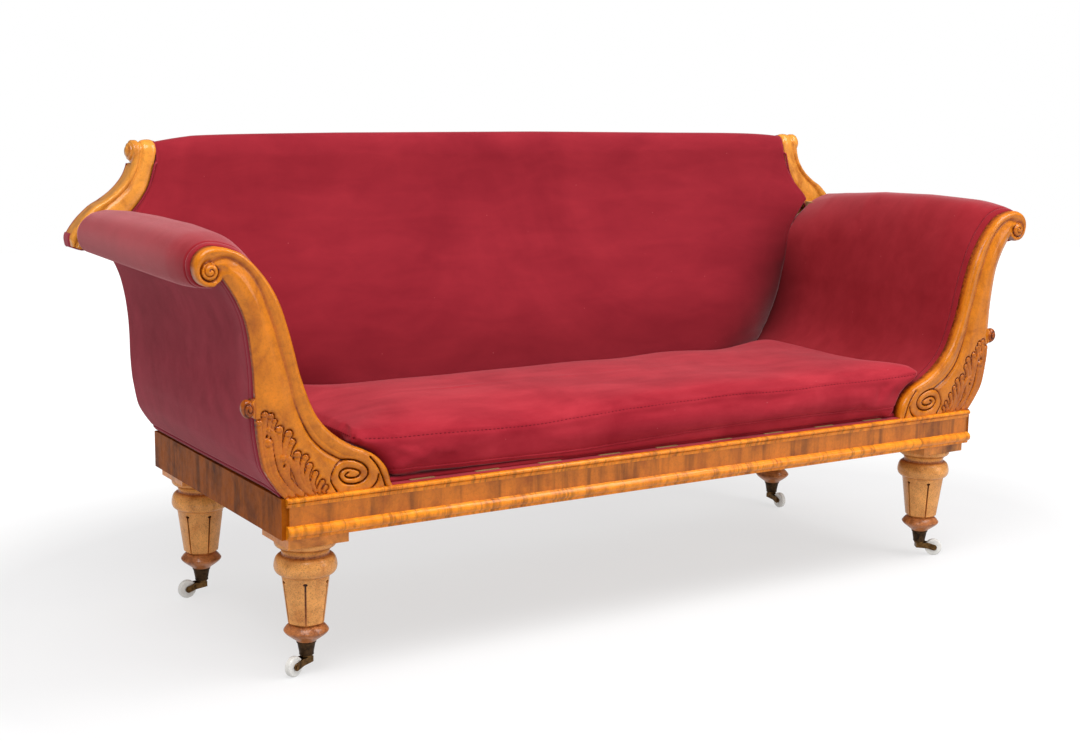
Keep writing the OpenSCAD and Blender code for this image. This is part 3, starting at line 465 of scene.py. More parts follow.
def maple(name, looks, light=(198, 112, 8), deep=(158, 78, 2), figure=16, streak=None, patina_and_shade=False, speckle=0.0,
          gloss=0.5, bands=(0.45, 0.85)):
    """French-polished figured maple; streak gives the direction of cross-banding."""
    if name in FINISHES:
        return FINISHES[name]
    f = Finish(name, Coat_Weight=gloss, Coat_Roughness=0.1, Coat_IOR=1.42, IOR=1.45,
               Specular_IOR_Level=0.25 if gloss else 0.05)
    light = [c * w for c, w in zip(light, looks.wood)]
    deep = [c * w for c, w in zip(deep, looks.wood)]
    clouds = f.noise(figure, 5, 0.6, 1.2)
    curl = f.noise(38, 3, 0.5, 0.4, f.stretched((1, 1, 0.35)))
    eyes = f.spots(170, f.stretched((1, 1, 0.8)))
    value = f.sum((clouds, 0.75), (curl, 0.35))
    bright = [min(255, c * 1.1) for c in light]
    colour = f.ramp(value, (0.34, shade(*deep)), (0.54, shade(*light)), (0.74, shade(*bright)))
    if streak:
        stripes = f.noise(1, 4, 0.62, 0.3, f.stretched(streak))
        darker = f.ramp(stripes, (0.36, bands[0]), (0.47, bands[1]), (0.58, 1.0))
        colour = f.mix(1.0, colour, darker, "MULTIPLY")
    fine = f.ramp(eyes, (0.06, 0.55), (0.2, 1.0))
    colour = f.mix(0.45, colour, fine, "MULTIPLY")
    burl = f.ramp(f.noise(150, 3, 0.7, 0.8), (0.4, 0.8), (0.52, 1.0))
    colour = f.mix(0.6, colour, burl, "MULTIPLY")
    if speckle:
        flecks = f.ramp(f.noise(420, 2, 0.6), (0.36, 0.3), (0.46, 1.0))
        colour = f.mix(speckle, colour, flecks, "MULTIPLY")
    # Painted shade with the polish's dark patina: the mark read here darkens grooves, flute slots and board edges,
    # down to near black.
    if patina_and_shade:
        uneven = f.ramp(f.noise(150, 3), (0.35, 0.6), (0.65, 1.3))
        mottled = f.node("ShaderNodeMath", {0: f.attribute("patina_and_shade"), 1: uneven}, operation="MULTIPLY").outputs[0]
        worn = f.ramp(mottled, (0.03, (1, 1, 1, 1)), (0.25, (0.72, 0.56, 0.45, 1)), (0.5, (0.42, 0.26, 0.16, 1)),
                      (1.0, (0.1, 0.045, 0.02, 1)))
        colour = f.mix(1.0, colour, worn, "MULTIPLY")
    rough = f.ramp(f.noise(60, 3), (0.3, 0.3), (0.7, 0.46))
    height = f.sum((f.noise(90, 3), 0.6), (f.noise(500, 2), 0.2))
    FINISHES[name] = f.finish(colour, rough, height, 0.0006, 0.3)
    return FINISHES[name]


# The default tones are the seat's, lighter than the back and arms: painted light on the upward faces.
def velvet(name, looks, deep=(138, 28, 40), lit=(170, 48, 58), sheen=0.3, patches=5, strokes=(0.5, 1.8, 1.6)):
    """Crimson cotton velvet with worn nap, lint and a soft sheen, and painted shade where its mesh is marked."""
    if name in FINISHES:
        return FINISHES[name]
    f = Finish(name, Sheen_Weight=sheen, Sheen_Roughness=0.32, Sheen_Tint=shade(255, 196, 200), IOR=1.35,
               Specular_IOR_Level=0.1)
    deep = [c * w for c, w in zip(deep, looks.cloth)]
    lit = [c * w for c, w in zip(lit, looks.cloth)]
    nap = f.noise(patches, 5, 0.62, 0.8)
    brushed = f.noise(14, 4, 0.6, 0.5, f.stretched(strokes))
    pile = f.noise(900, 2, 0.7)
    value = f.sum((nap, 0.6), (brushed, 0.35), (pile, 0.12))
    middle = [(a + b) / 2 for a, b in zip(deep, lit)]
    colour = f.ramp(value, (0.4, shade(*deep)), (0.56, shade(*middle)), (0.72, shade(*lit)))
    # Painted shade: the colour is darkened towards a dull brown where the mesh's shade mark is set.
    sunk = f.mix(1.0, colour, (0.34, 0.22, 0.24, 1), "MULTIPLY")
    colour = f.mix(f.attribute("painted_shade"), colour, sunk)
    lint = f.ramp(f.spots(26), (0.018, 1.0), (0.03, 0.0))
    colour = f.mix(f.sum((lint, 0.3)), colour, shade(225, 150, 150))
    rough = f.ramp(pile, (0.3, 0.78), (0.7, 0.95))
    height = f.sum((pile, 0.5), (f.noise(260, 3), 0.5))
    FINISHES[name] = f.finish(colour, rough, height, 0.0008, 0.4)
    return FINISHES[name]


# The outside velvet is lighter and pinker than the stuffed velvet: painted light and sheen for the outside faces.
def outside_velvet(looks):
    return velvet("outside velvet", looks, (124, 30, 44), (156, 50, 64), 0.45, 3.4)


# A darker velvet for the seam cords: the dark lines along the seams are painted shade.
def seam_shade_velvet(looks):
    return velvet("seam shade velvet", looks, (84, 12, 22), (110, 22, 34), 0.1)


def plain(name, light, deep, scale, metallic=0.0, rough=(0.4, 0.6), gloss=0.0, depth=0.0004):
    """A softly varied finish for metal, ceramic and frame wood."""
    if name in FINISHES:
        return FINISHES[name]
    f = Finish(name, Metallic=metallic, Coat_Weight=gloss, Coat_Roughness=0.08)
    clouds = f.noise(scale, 5, 0.6, 0.6)
    colour = f.ramp(clouds, (0.32, shade(*deep)), (0.62, shade(*light)))
    FINISHES[name] = f.finish(colour, f.ramp(f.noise(scale * 2, 3), (0.3, rough[0]), (0.7, rough[1])),
                              f.sum((f.noise(scale * 6, 3), 1.0)), depth, 0.4)
    return FINISHES[name]


def jute():
    """Coarse jute in a close twill."""
    f = Finish("jute", IOR=1.35, Specular_IOR_Level=0.1)
    wave = f.node("ShaderNodeTexWave", {"Vector": f.where, "Scale": 180, "Distortion": 1.0},
                  bands_direction="DIAGONAL")
    threads = f.sum((wave.outputs["Fac"], 0.6), (f.noise(420, 3), 0.5))
    colour = f.ramp(threads, (0.3, shade(112, 84, 52)), (0.7, shade(184, 150, 104)))
    return f.finish(colour, f.ramp(threads, (0.3, 0.8), (0.7, 0.95)), threads, 0.0006, 0.6)


# The carved arm fronts

INNER_EDGE = spline(np.array(INNER_SHARES) * ARM, 10)
OUTER_EDGE = spline(np.array(OUTER_SHARES) * ARM, 10)
SCROLL_START = 106
EYE_RADIUS = 15
LEAST = -9.0
SCROLL_SIZES = spline([(0, 43), (55, 33.5), (106, 26.5), (160, 26.3), (205, 27.2), (300, 27)], 8)


def scroll_radius(a):
    """How far the scroll's edge is from its eye, after so many degrees of its winding."""
    return np.interp(a, SCROLL_SIZES[:, 0], SCROLL_SIZES[:, 1])


def bead_half(a):
    """Half the width of the bead that winds round the eye."""
    return (scroll_radius(a) - EYE_RADIUS) * 0.46


def round_eye(a, radius):
    """Points round the scroll's eye, at their own radius after so many degrees."""
    turn = np.radians(SCROLL_START - a)
    return EYE + radius[:, None] * np.stack([np.cos(turn), np.sin(turn)], axis=1)


SCROLL_EDGE = round_eye(np.linspace(0, 205, 70), scroll_radius(np.linspace(0, 205, 70)))
BUMP = np.array([(261.5, 146), (266, 151), (270, 158), (271.5, 166), (270, 175), (265.5, 181), (262.6, 184)], float)
SPIRAL = spline([(111, 2), (122, 20), (121, 36), (111, 52), (95, 58), (74, 55), (55, 44), (48, 29), (58, 16),
                 (77, 12), (95, 16), (105, 27), (103, 37), (91, 42), (73, 38), (64, 31), (71, 24), (86, 24),
                 (94, 29), (88, 34)], 6)
TOE_OUTLINE = np.array([(111, -2), (122, 20), (121, 36), (111, 52), (95, 58), (80, 60), (56, 68), (30, 62), (-10, 60),
                        (-10, -5)], float)
TOE_GROOVE = spline([(44, 58), (30, 41), (21, 23), (13, 0)], 6)
DART = spline([(27, 24), (31, 11), (42, -1)], 5)
BEAD_LINE = spline([(86, 56), (101, 59), (116, 67), (133.4, 78.3), (151, 94.9), (164.5, 112.9), (175.9, 136),
                    (184, 156), (191.5, 180), (200.4, 219.2), (212, 258.2), (223.5, 300.7), (236.9, 339.1),
                    (248.3, 369.6), (263.7, 396.4), (285.2, 418.2), (311.6, 430.0), (334.9, 424.2)], 6)
LOW_BEAD = spline([(0, 1.0), (.08, 3.3), (.17, 4.6), (.25, 4.9), (.32, 4.3), (.38, 4.9), (.52, 6.0), (.75, 6.6),
                   (1, 6.2)], 6)
HIGH_BEAD = spline([(0, 1.6), (.12, 2.1), (.26, 3.9), (.36, 4.9), (.43, 4.8), (.5, 5.3), (.64, 6.3), (.8, 6.7),
                    (1, 6.2)], 6)
LEAVES = [
    (3.6, 4.2, [(212, 4), (229, 26), (243, 47), (250, 71), (254, 97), (256, 119), (257, 140)]),
    (2.6, 4.2, [(208, 5), (222, 24), (235, 48), (242, 72), (246, 100), (248, 127), (246, 154)]),
    (2.4, 4.0, [(240, 112), (238, 135), (235, 150)]),
    (2.0, 3.4, [(235, 116), (232, 130), (229, 141)]),
    (4.2, 5.4, [(196, 4), (214, 25), (228, 48), (235, 73), (238, 93), (240, 103)]),
    (4.6, 4.4, [(179, 4), (199, 26), (214, 52), (222, 79), (226, 101), (231, 119), (240, 127)]),
    (3.0, 4.8, [(213, 48), (218, 78), (220, 100), (219, 125)]),
    (3.0, 4.8, [(208, 40), (211, 70), (209, 95), (202, 116)]),
    (2.6, 4.2, [(202, 36), (204, 68), (202, 86), (196, 101)]),
    (4.2, 4.6, [(159, 2), (179, 23), (188, 44), (195, 61), (204, 72), (214, 74)]),
    (3.0, 4.8, [(182, 30), (187, 53), (186, 77)]),
    (2.8, 4.2, [(169, 17), (177, 42), (176, 60), (171, 70)]),
    (2.6, 4.0, [(161, 11), (168, 34), (163, 54)]),
    (2.4, 3.8, [(151, 7), (157, 23), (152, 39)]),
    (2.2, 3.4, [(144, 3), (145, 12), (139, 22)]),
    (2.0, 3.0, [(134, 2), (136, 7), (132, 12)])]
LEAF_EYES = [(243, 116), (211, 60)]


def arm_contour():
    """The closed outline of the arm's board."""
    low, high = OUTER_EDGE[OUTER_EDGE[:, 1] < 145], OUTER_EDGE[OUTER_EDGE[:, 1] > 185]
    outer = np.concatenate([low, spline(BUMP, 4), high])
    return np.concatenate([INNER_EDGE[:-1], SCROLL_EDGE, outer[::-1]])


def between(line, edge):
    """The middle line between a line and the edge beside it, and half the distance between the two."""
    away, share = nearest(line, edge)
    at = share * (len(edge) - 1)
    beside = np.stack([np.interp(at, np.arange(len(edge)), edge[:, k]) for k in (0, 1)], axis=1)
    return (line + beside) / 2, away / 2


def groove(distance, width, depth):
    """How deep a rounded groove is at a distance from its middle."""
    return depth * np.exp(-(distance / width) ** 2)


def leaf_relief(points):
    """The height of the acanthus's ribs, the depth of the curls at their tips, and the distance to the next rib."""
    ribs = np.full(len(points), LEAST)
    near_rib = np.full(len(points), 1e9)
    curls = np.zeros(len(points))
    for slim, wide, leaf in LEAVES:
        path = spline(leaf, 6)
        away, share = nearest(points, path)
        half = (slim + (wide - slim) * share) * 1.4
        crest = 2.2 + 2.6 * share
        ridge = 1.8 + crest * np.clip(1 - (away / half) ** 2, 0, 1) ** 0.4
        ribs = np.maximum(ribs, np.where(away < half, ridge, LEAST))
        ahead = path[-1] - path[-4]
        ahead /= np.linalg.norm(ahead)
        beside = np.array([ahead[1], -ahead[0]])
        offset = points - path[-1]
        tip = np.linalg.norm(offset, axis=1)
        lobe = wide * 1.5
        dome = 3.4 + 0.55 * np.sqrt(np.clip(lobe ** 2 - tip ** 2, 0, None))
        ribs = np.maximum(ribs, np.where(tip < lobe, dome, LEAST))
        roll = np.linalg.norm(offset + ahead * 1.4 - beside * 1.8, axis=1)
        curls = np.maximum(curls, groove(roll - 0.55 * lobe, 1.0, 1.3) * (offset @ ahead < 2.5) * (tip < lobe - 0.4))
        near_rib = np.minimum(near_rib, np.minimum(away - half, tip - lobe))
    return ribs, curls, near_rib


def carving(points):
    """How far the carving stands up from its ground, how far its contour is rounded away, and where the leaf is."""
    turn = np.linspace(0, 290, 90)
    lip = round_eye(turn, scroll_radius(turn) - 2 * bead_half(turn))
    contour = np.concatenate([INNER_EDGE[:-1], SCROLL_EDGE])
    lines = (contour, np.concatenate([BEAD_LINE[:-1], lip]), SPIRAL, TOE_GROOVE, DART, OUTER_EDGE)
    to_contour, to_line, to_spiral, to_toe, to_dart, to_outer = (nearest(points, line)[0] for line in lines)
    to_eye = np.linalg.norm(points - EYE, axis=1)
    throat = fade(points[:, 1], 250, 370)
    crisp = fade(points[:, 1], 190, 110)

    near_line = np.minimum(to_line * 1.1, to_outer * 1.5)
    rise = swell(near_line / (28 - 4 * throat)) * crisp + fade(near_line, -4, 25) * (1 - crisp)
    field = 1.0 + (5.4 + 2.2 * throat) * rise
    toe_zone = inside(points, TOE_OUTLINE)
    middle, half_of = between(BEAD_LINE[:-1], contour)
    centre_line = np.concatenate([middle, round_eye(turn, scroll_radius(turn) - bead_half(turn))])
    halves = np.concatenate([half_of, bead_half(turn)])
    to_bead, share = nearest(points, centre_line)
    half = np.interp(share, np.linspace(0, 1, len(halves)), halves)
    in_band = (to_bead < half) & (to_line + to_contour < 2.6 * half + 1) & ~toe_zone
    toe_bead = (points[:, 1] > 50) & (points[:, 0] < 100) & ~toe_zone
    across = to_line / np.maximum(to_line + to_contour, 1)
    low_bead, high_bead = (np.interp(across, shape[:, 0], shape[:, 1]) for shape in (LOW_BEAD, HIGH_BEAD))
    band = low_bead * crisp + high_bead * (1 - crisp)
    volute_edge = np.minimum.reduce([to_spiral, to_toe, to_dart])
    volute = 1.4 + 4.6 * swell(volute_edge / 7.5)
    height = np.where(in_band | toe_bead, band, field)
    height = np.where(toe_zone, volute, height)

    snail = 3.0 + 6.0 * swell((EYE_RADIUS - to_eye) / EYE_RADIUS)
    height = np.where(to_eye < EYE_RADIUS, snail, height)
    winding = np.linspace(0, 1, 60)
    snail_line = EYE + (13.5 * (1 - winding) + 2.0)[:, None] * np.stack(
        [np.cos(np.radians(-140 - 560 * winding)), np.sin(np.radians(-140 - 560 * winding))], axis=1)
    to_snail_line, _ = nearest(points, snail_line)

    ribs, curls, near_rib = leaf_relief(points)
    height = height - (height - 3.2) * fade(near_rib, 6, 0) * (height > 3.2)
    height = height - groove(near_rib, 1.4, 1.6)
    height = np.maximum(height, ribs)
    height = height - curls

    height = height - groove(to_line, 2.6, 1.5) * crisp * (~toe_zone) - groove(to_line, 5.0, 0.8) * (1 - crisp)
    height = height - groove(to_spiral, 1.5, 3.4) - groove(to_toe, 1.6, 3.4) - groove(to_dart, 1.4, 2.8)
    height = height - groove(to_snail_line, 1.4, 3.2) * (to_eye < 16)
    for hole in LEAF_EYES:
        off = points - hole
        oval = np.hypot(off[:, 0] + off[:, 1] * 0.25, off[:, 1] * 0.6)
        height = np.maximum(height, np.where(oval < 6.8, 8.2 - 0.12 * oval ** 2, LEAST))
        height = height - groove(oval, 2.6, 8.0)
    rim = nearest(points, arm_contour())[0]
    height = np.maximum(height - 1.2 * (1 - swell(rim / 2.2)) * (to_contour > 4), -0.8)
    rounding = 10.5 * (1 - swell(to_contour / 10)) * fade(points[:, 1], -2, 12)
    return height, rounding, fade(near_rib, 5, 0)


def leaf_knob():
    """The small leaf that curls out from the outer edge of the right arm."""
    deselect()
    bpy.ops.mesh.primitive_uv_sphere_add(segments=72, ring_count=48, radius=0.012, rotation=(math.pi / 2, 0, 0))
    knob = bpy.context.object
    bpy.ops.object.transform_apply(location=False, rotation=True, scale=False)
    p = places(knob) + (0, SHIFT, 0)
    winding = (np.arctan2(p[:, 2], p[:, 0]) / (2 * math.pi) + np.hypot(p[:, 0], p[:, 2]) / 6.4 + 0.1) % 1
    curl = np.exp(-((winding - 0.5) / 0.13) ** 2) * fade(np.hypot(p[:, 0], p[:, 2]), 1.0, 3.0)
    p = p * (1 - 0.16 * curl)[:, None] * (1.02, 1.15, 1.42)
    p[:, 0] += p[:, 2] * 0.1
    move_points(knob, p + (TOE[0] + 275, -56.0, TOE[1] + 166))
    # Painted shade, with patina: the knob a little darker all over, darkest in its curling groove.
    mark(knob, "patina_and_shade", 0.4 + curl * 0.6)
    return knob


def blurred(values, used, shape):
    """The mean round each used point of a grid, weighed by how many of its neighbours are used."""
    total, weight = np.zeros(shape), np.zeros(shape)
    total.flat[used], weight.flat[used] = values, 1
    for _ in range(7):
        for axis in (0, 1):
            total, weight = ((np.roll(f, 1, axis) + f + np.roll(f, -1, axis)) / 3 for f in (total, weight))
    return (total / np.maximum(weight, 1e-6)).flat[used]


def arm_front(pitch):
    """The carved board of the right arm."""
    contour = arm_contour()
    low, high = contour.min(axis=0) - 3, contour.max(axis=0) + 3
    us, vs = np.arange(low[0], high[0], pitch), np.arange(low[1], high[1], pitch)
    cols = len(us)
    grid = np.stack(np.meshgrid(us, vs), axis=2).reshape(-1, 2)
    middles = np.stack(np.meshgrid(us[:-1] + pitch / 2, vs[:-1] + pitch / 2), axis=2).reshape(-1, 2)
    faces = grid_faces(len(vs), cols)[inside(middles, contour)]
    used = np.unique(faces)
    renumber = np.full(len(grid), -1)
    renumber[used] = np.arange(len(used))
    faces = renumber[faces]
    points = grid[used]
    pairs = np.concatenate([faces[:, [k, (k + 1) % 4]] for k in range(4)])
    keys = np.sort(pairs, axis=1) @ np.array([len(points), 1])
    order, counts = np.unique(keys, return_counts=True)
    rim_pairs = pairs[np.isin(keys, order[counts == 1])]
    rim = np.unique(rim_pairs)
    closed = np.concatenate([contour, contour[:1]])
    snapped = along(closed, 4000)
    for i in rim:
        points[i] = snapped[np.argmin(((snapped - points[i]) ** 2).sum(axis=1))]
    relief, rounding, leafy = carving(points)
    height = relief - rounding
    # Painted shade, with the polish's dark patina: darker where the relief sinks below its blurred surroundings, and
    # a little round the leaf ribs.
    soft = blurred(relief, used, (len(vs), cols))
    patina_and_shade = np.clip((soft - relief - 0.12) / 2.6, 0, 1)
    patina_and_shade = np.maximum(patina_and_shade, leafy * 0.16)
    count = len(points)
    x, z = points[:, 0] + TOE[0], points[:, 1] + TOE[1]
    front, back = row(x, CARVING_GROUND - height, z), row(x[rim], PANEL_BACK, z[rim])
    behind = {int(i): count + k for k, i in enumerate(rim)}
    faces = faces.tolist() + [[int(b), int(a), behind[int(a)], behind[int(b)]] for a, b in rim_pairs]
    piece = mesh_piece("arm_front", np.concatenate([front, back]), faces, 0.0)
    # The board's edges take a strong painted shade.
    mark(piece, "patina_and_shade", np.concatenate([patina_and_shade, np.full(len(rim), 0.8)]))
    mesh = bmesh.new()
    mesh.from_mesh(piece.data)
    bmesh.ops.holes_fill(mesh, edges=[e for e in mesh.edges if e.is_boundary])
    bmesh.ops.remove_doubles(mesh, verts=mesh.verts, dist=MERGE)
    bmesh.ops.recalc_face_normals(mesh, faces=mesh.faces)
    mesh.to_mesh(piece.data)
    mesh.free()
    piece = join("arm_front", piece, leaf_knob())
    smooth(piece, 50)
    return piece


# The rolled ears of the back

POST_TOP = 900.0
EAR_Y = 594.0
EAR_FOOT = np.array([TOE[0] + ARM[0] * 0.5135, TOE[1] + ARM[1] * 0.8473])
EAR_SIZE = np.array([ARM[0] * 0.4973, POST_TOP + 24 - EAR_FOOT[1]])
EAR_OUTER = spline(EAR_FOOT + EAR_SIZE * np.array([
    (.99, .03), (1, .12), (.96, .2), (.88, .3), (.8, .375), (.72, .44), (.61, .5), (.47, .6), (.36, .72), (.3, .84),
    (.265, 1)]), 6)
EAR_INNER = spline(EAR_FOOT + EAR_SIZE * np.array([
    (.9, 0), (.75, 0), (.58, .04), (.455, .155), (.37, .32), (.275, .43), (.195, .53), (.125, .655), (.07, .83),
    (.045, .93), (.03, 1)]), 6)
EAR_PROFILE = [(0, .2), (.05, .6), (.14, .9), (.3, 1), (.48, .88), (.6, .55), (.675, .1), (.73, .1), (.79, .6),
               (.87, .85), (.95, .75), (1, .3)]
CONCH = [(0, -4), (23, -4), (23, -2), (23.2, 1.5), (22.4, 3.6), (20.6, 4.6), (18.4, 4.9), (17.6, 5.4), (17.4, 7.5),
         (16.6, 9.2), (14.6, 10.2), (11.6, 10.4), (10.9, 10.9), (10.6, 12.2), (9.4, 13.4), (6.5, 14.0), (4.2, 14.1),
         (3.2, 14.6), (1.6, 15), (0, 15.1)]
EAR_RADIUS = 24.0
EAR_TIP = 764.0
EAR_THICK, EAR_RELIEF, EAR_CORE = 18.0, 6.0, 6.0


def ear():
    """The right ear: a board with its moulding, rolled over backwards at the top."""
    profile = spline(EAR_PROFILE, 4)
    share, lift = profile[:, 0], np.clip(profile[:, 1], 0, 1)
    sunk = EAR_RELIEF * (1 - lift)
    front, back = [], []
    for low, high in zip(EAR_INNER, EAR_OUTER):
        line = low + (high - low) * share[:, None]
        front.append(row(line[:, 0], EAR_Y + sunk, line[:, 1]))
        back.append(row(line[:, 0], EAR_Y + EAR_THICK, line[:, 1]))
    x = EAR_INNER[-1, 0] + (EAR_OUTER[-1, 0] - EAR_INNER[-1, 0]) * share
    for a in np.radians(np.linspace(6, 230, 40)):
        for rows, r in ((front, EAR_RADIUS - sunk), (back, EAR_CORE)):
            rows.append(row(x, EAR_Y + EAR_RADIUS - r * math.cos(a), POST_TOP + EAR_RADIUS + r * math.sin(a)))
    board = slab("ear_board", front, back)
    knob = turned("conch", CONCH, 48)
    place = metres((EAR_OUTER[-1, 0], EAR_Y + EAR_RADIUS, POST_TOP + EAR_RADIUS))
    knob.data.transform(Matrix.Translation(place) @ Matrix.Rotation(math.radians(90), 4, "Y"))
    return join("ear", board, knob)


# The cloth

POST_FACE = ([349, 727.8, 1500], [558, 612, 612])
SEAT_UP = INNER_EDGE[INNER_EDGE[:, 1] > 3.3]
ARM_STUFFING = 12
POST_EDGE = OUTER_EDGE + normals_beside(OUTER_EDGE) * 15 + TOE
EAR_TURN = EAR_FOOT[1] + EAR_SIZE[1] * 0.15
EAR_SIDE = EAR_INNER[(EAR_INNER[:, 1] > EAR_TURN) & (EAR_INNER[:, 1] < POST_TOP)]
ROLL_CROWN = {"left": ([0, 0.04, 0.12, 0.35, 0.6, 0.85, 1], [0, 4, 10, 17, 19, 16, 10]),
              "right": ([0, 0.04, 0.12, 0.35, 0.6, 0.85, 1], [0, 8, 15, 20, 16, -2, -20])}


def post_face(z):
    """How far back the face of a back post is at a height."""
    return np.interp(z, *POST_FACE)


def arm_rise(line):
    """How far up the arm's stuffing has grown to its full height, from 0 to 1."""
    return np.clip((line[:, 1] - ARM[1] * 0.17) / (ARM[1] * 0.4), 0, 1)


def arm_cover(side):
    """The stuffed inside of an arm, from the seat up and over the scroll."""
    under = spline([SCROLL_EDGE[-1], SCROLL_EDGE[-1] + (-8, -1.5), SCROLL_EDGE[-1] + (-17, 3)], 4)[1:]
    path = along(np.concatenate([SEAT_UP, SCROLL_EDGE, under]), 150)
    steps = np.arange(len(path))
    out = normals_beside(path)
    rise = arm_rise(path)
    rolled = fade(steps, 84, 104)
    end = np.minimum(post_face(path[:, 1] + TOE[1]), EAR_Y) - 0.3 - 6 * fade(path[:, 0], 280, 350)
    crest = fade(path[:, 1], 330, 440) * fade(steps, 132, 112)
    start = [0, 0.6, 1.5, 3, 5, 8, 11, 13, BORDER_SEAM, 15.4, 17.5, 21, 26, 34, 44]
    stations = np.array(start + list(np.linspace(56, 614, 58)) + [619, 623, 626.5, 629.5, 631.5, 633, 634])
    share = stations / stations[-1]
    crown = np.interp(stations, [0, 1.5, 3, 6, 10, 24, 50, 90], [0.05, 0.15, 0.2, 0.27, 0.34, 0.5, 0.82, 1])
    fuller = np.exp(-((path[:, 1] - 370) / 75) ** 2) * fade(steps, 116, 84)
    crease = np.exp(-((stations - BORDER_SEAM) / 1.3) ** 2)
    front, back = [], []
    for s, full, dent, part in zip(stations, crown, crease, share):
        y = PANEL_BACK + (end - PANEL_BACK) * part
        lump = rumple(row(path[:, 0] + TOE[0], y, path[:, 1]), 260, 3) * fade(s, 14, 60) * 1.6
        lift = (ARM_STUFFING + 5 * fuller * fade(s, 20, 90)) * rise * full
        lift = lift - 2.2 * dent * (0.4 + 0.6 * rise) + np.minimum(lump, 1.8) * (0.3 + 0.7 * rise)
        lift = lift * (1 - 0.7 * part * fade(steps, 112, 128)) + np.interp(part, *ROLL_CROWN[side]) * crest
        line = path + out * lift[:, None]
        closing = 1 - (1 - swell((stations[-1] - s) / 15)) * 0.92 * rolled
        line = EYE + (line - EYE) * closing[:, None]
        front.append(row(line[:, 0] + TOE[0], y, line[:, 1] + TOE[1]))
        deep = EYE + (path - out * 9 - EYE) * closing[:, None]
        back.append(row(deep[:, 0] + TOE[0], y, deep[:, 1] + TOE[1]))
    cover = slab("arm_cover", front, back)
    p = places(cover)
    # Painted shade on the lower rear part of the arm, where it meets the stuffed back.
    mark(cover, "painted_shade", fade(p[:, 1], 430, 570) * fade(p[:, 2], 760, 560) * 0.8)
    seam = tube("arm_seam", np.array(front)[8, 4:-6] + (0, 0, 0.2), 0.7, 6)
    return cover, seam


def outside_cover():
    """The cloth on the outside of an arm, with a narrow welted border along its front."""
    line = OUTER_EDGE[OUTER_EDGE[:, 1] < 392]
    span = measure(line)[-1]
    border = 11
    foot = [0, 1, 3, 7, 9.4, 10.4, border, 11.6, 12.6, 14.5, 18, 24]
    edge = along(line, 0, np.concatenate([foot, np.linspace(32, span, 62)]) / span)
    out = -normals_beside(edge)
    up = edge[:, 1]
    strip = np.where(up < border, 1.6 * swell(np.minimum(up, border - up) / 3) - 0.4, 0)
    strip -= 3.2 * np.exp(-((up - border) / 0.8) ** 2)
    lead, depth = 13.0, 647.7
    start = [0, 1, 2.5, 5, 9, 12, 13.4, BORDER_SEAM, 15, 17, 20, 26, 36]
    stations = np.array(start + list(np.linspace(50, depth, 50)))
    front, back = [], []
    for s in stations:
        beyond = s - BORDER_SEAM
        puff = 0.8 + 1.2 * swell(s / 4) * (beyond < 0) + 0.6 * swell(beyond / 6) * (beyond >= 0)
        puff = puff - 1.6 * fade(s, 14, 60) - 0.9 * math.exp(-(beyond / 1.2) ** 2)
        tail = swell((depth - s) / 6)
        y = PANEL_BACK - lead + s
        lump = rumple(row(edge[:, 0], y, up), 300, 5) * 0.8 * fade(s, 14, 70)
        line = edge + out * (puff * tail + np.minimum(lump, 0.8) - 0.5 + strip)[:, None]
        deep = edge - out * 8
        front.append(row(line[:, 0] + TOE[0], y, line[:, 1] + TOE[1]))
        back.append(row(deep[:, 0] + TOE[0], y, deep[:, 1] + TOE[1]))
    return slab("outside_cover", front, back)


BACK_FACE_SHARES = [(0, .98), (.06, 1), (.14, .99), (.22, .87), (.34, .7), (.46, .535), (.58, .38), (.7, .21),
                    (.8, .11), (.9, .03), (1, 0)]
BACK_TOP_Y, BACK_LOW_Y, BACK_FOOT = 590.0, 432.0, 352.3
ROLL_MIDDLE = 620
CREASE_DEPTH = ([350, 435, 460, 498, 546, 588, 636, 682, 723, 758], [95, 100, 106, 98, 74, 56, 36, 26, 20, 14])
CREASE_REACH, CREASE_X = 270, 735
END_SINK = 0.16
TOP_CROWN = ([-1, -0.9, -0.5, 0.1, 0.6, 1], [0, 0.12, 0.16, 0.15, 0.05, 0])


def toward_arm(from_side):
    """How far the stuffing falls away towards the crease beside an arm, from 0 to 1."""
    return np.clip(1 - from_side / CREASE_REACH, 0, 1) ** 1.8


def back_roll():
    """The section of the back's rolled top, from its face over to behind."""
    roll = spline([(0.0, 0.05), (0.05, 0.3), (0.26, 0.68), (0.6, 0.94), (1.05, 1), (1.6, 0.86), (1.92, 0.5),
                   (2, 0.1)], 5)
    behind, top = 650.0, 951.0
    return BACK_TOP_Y + (behind - BACK_TOP_Y) * roll[:, 0] / 2, POST_TOP + (top - POST_TOP) * roll[:, 1]


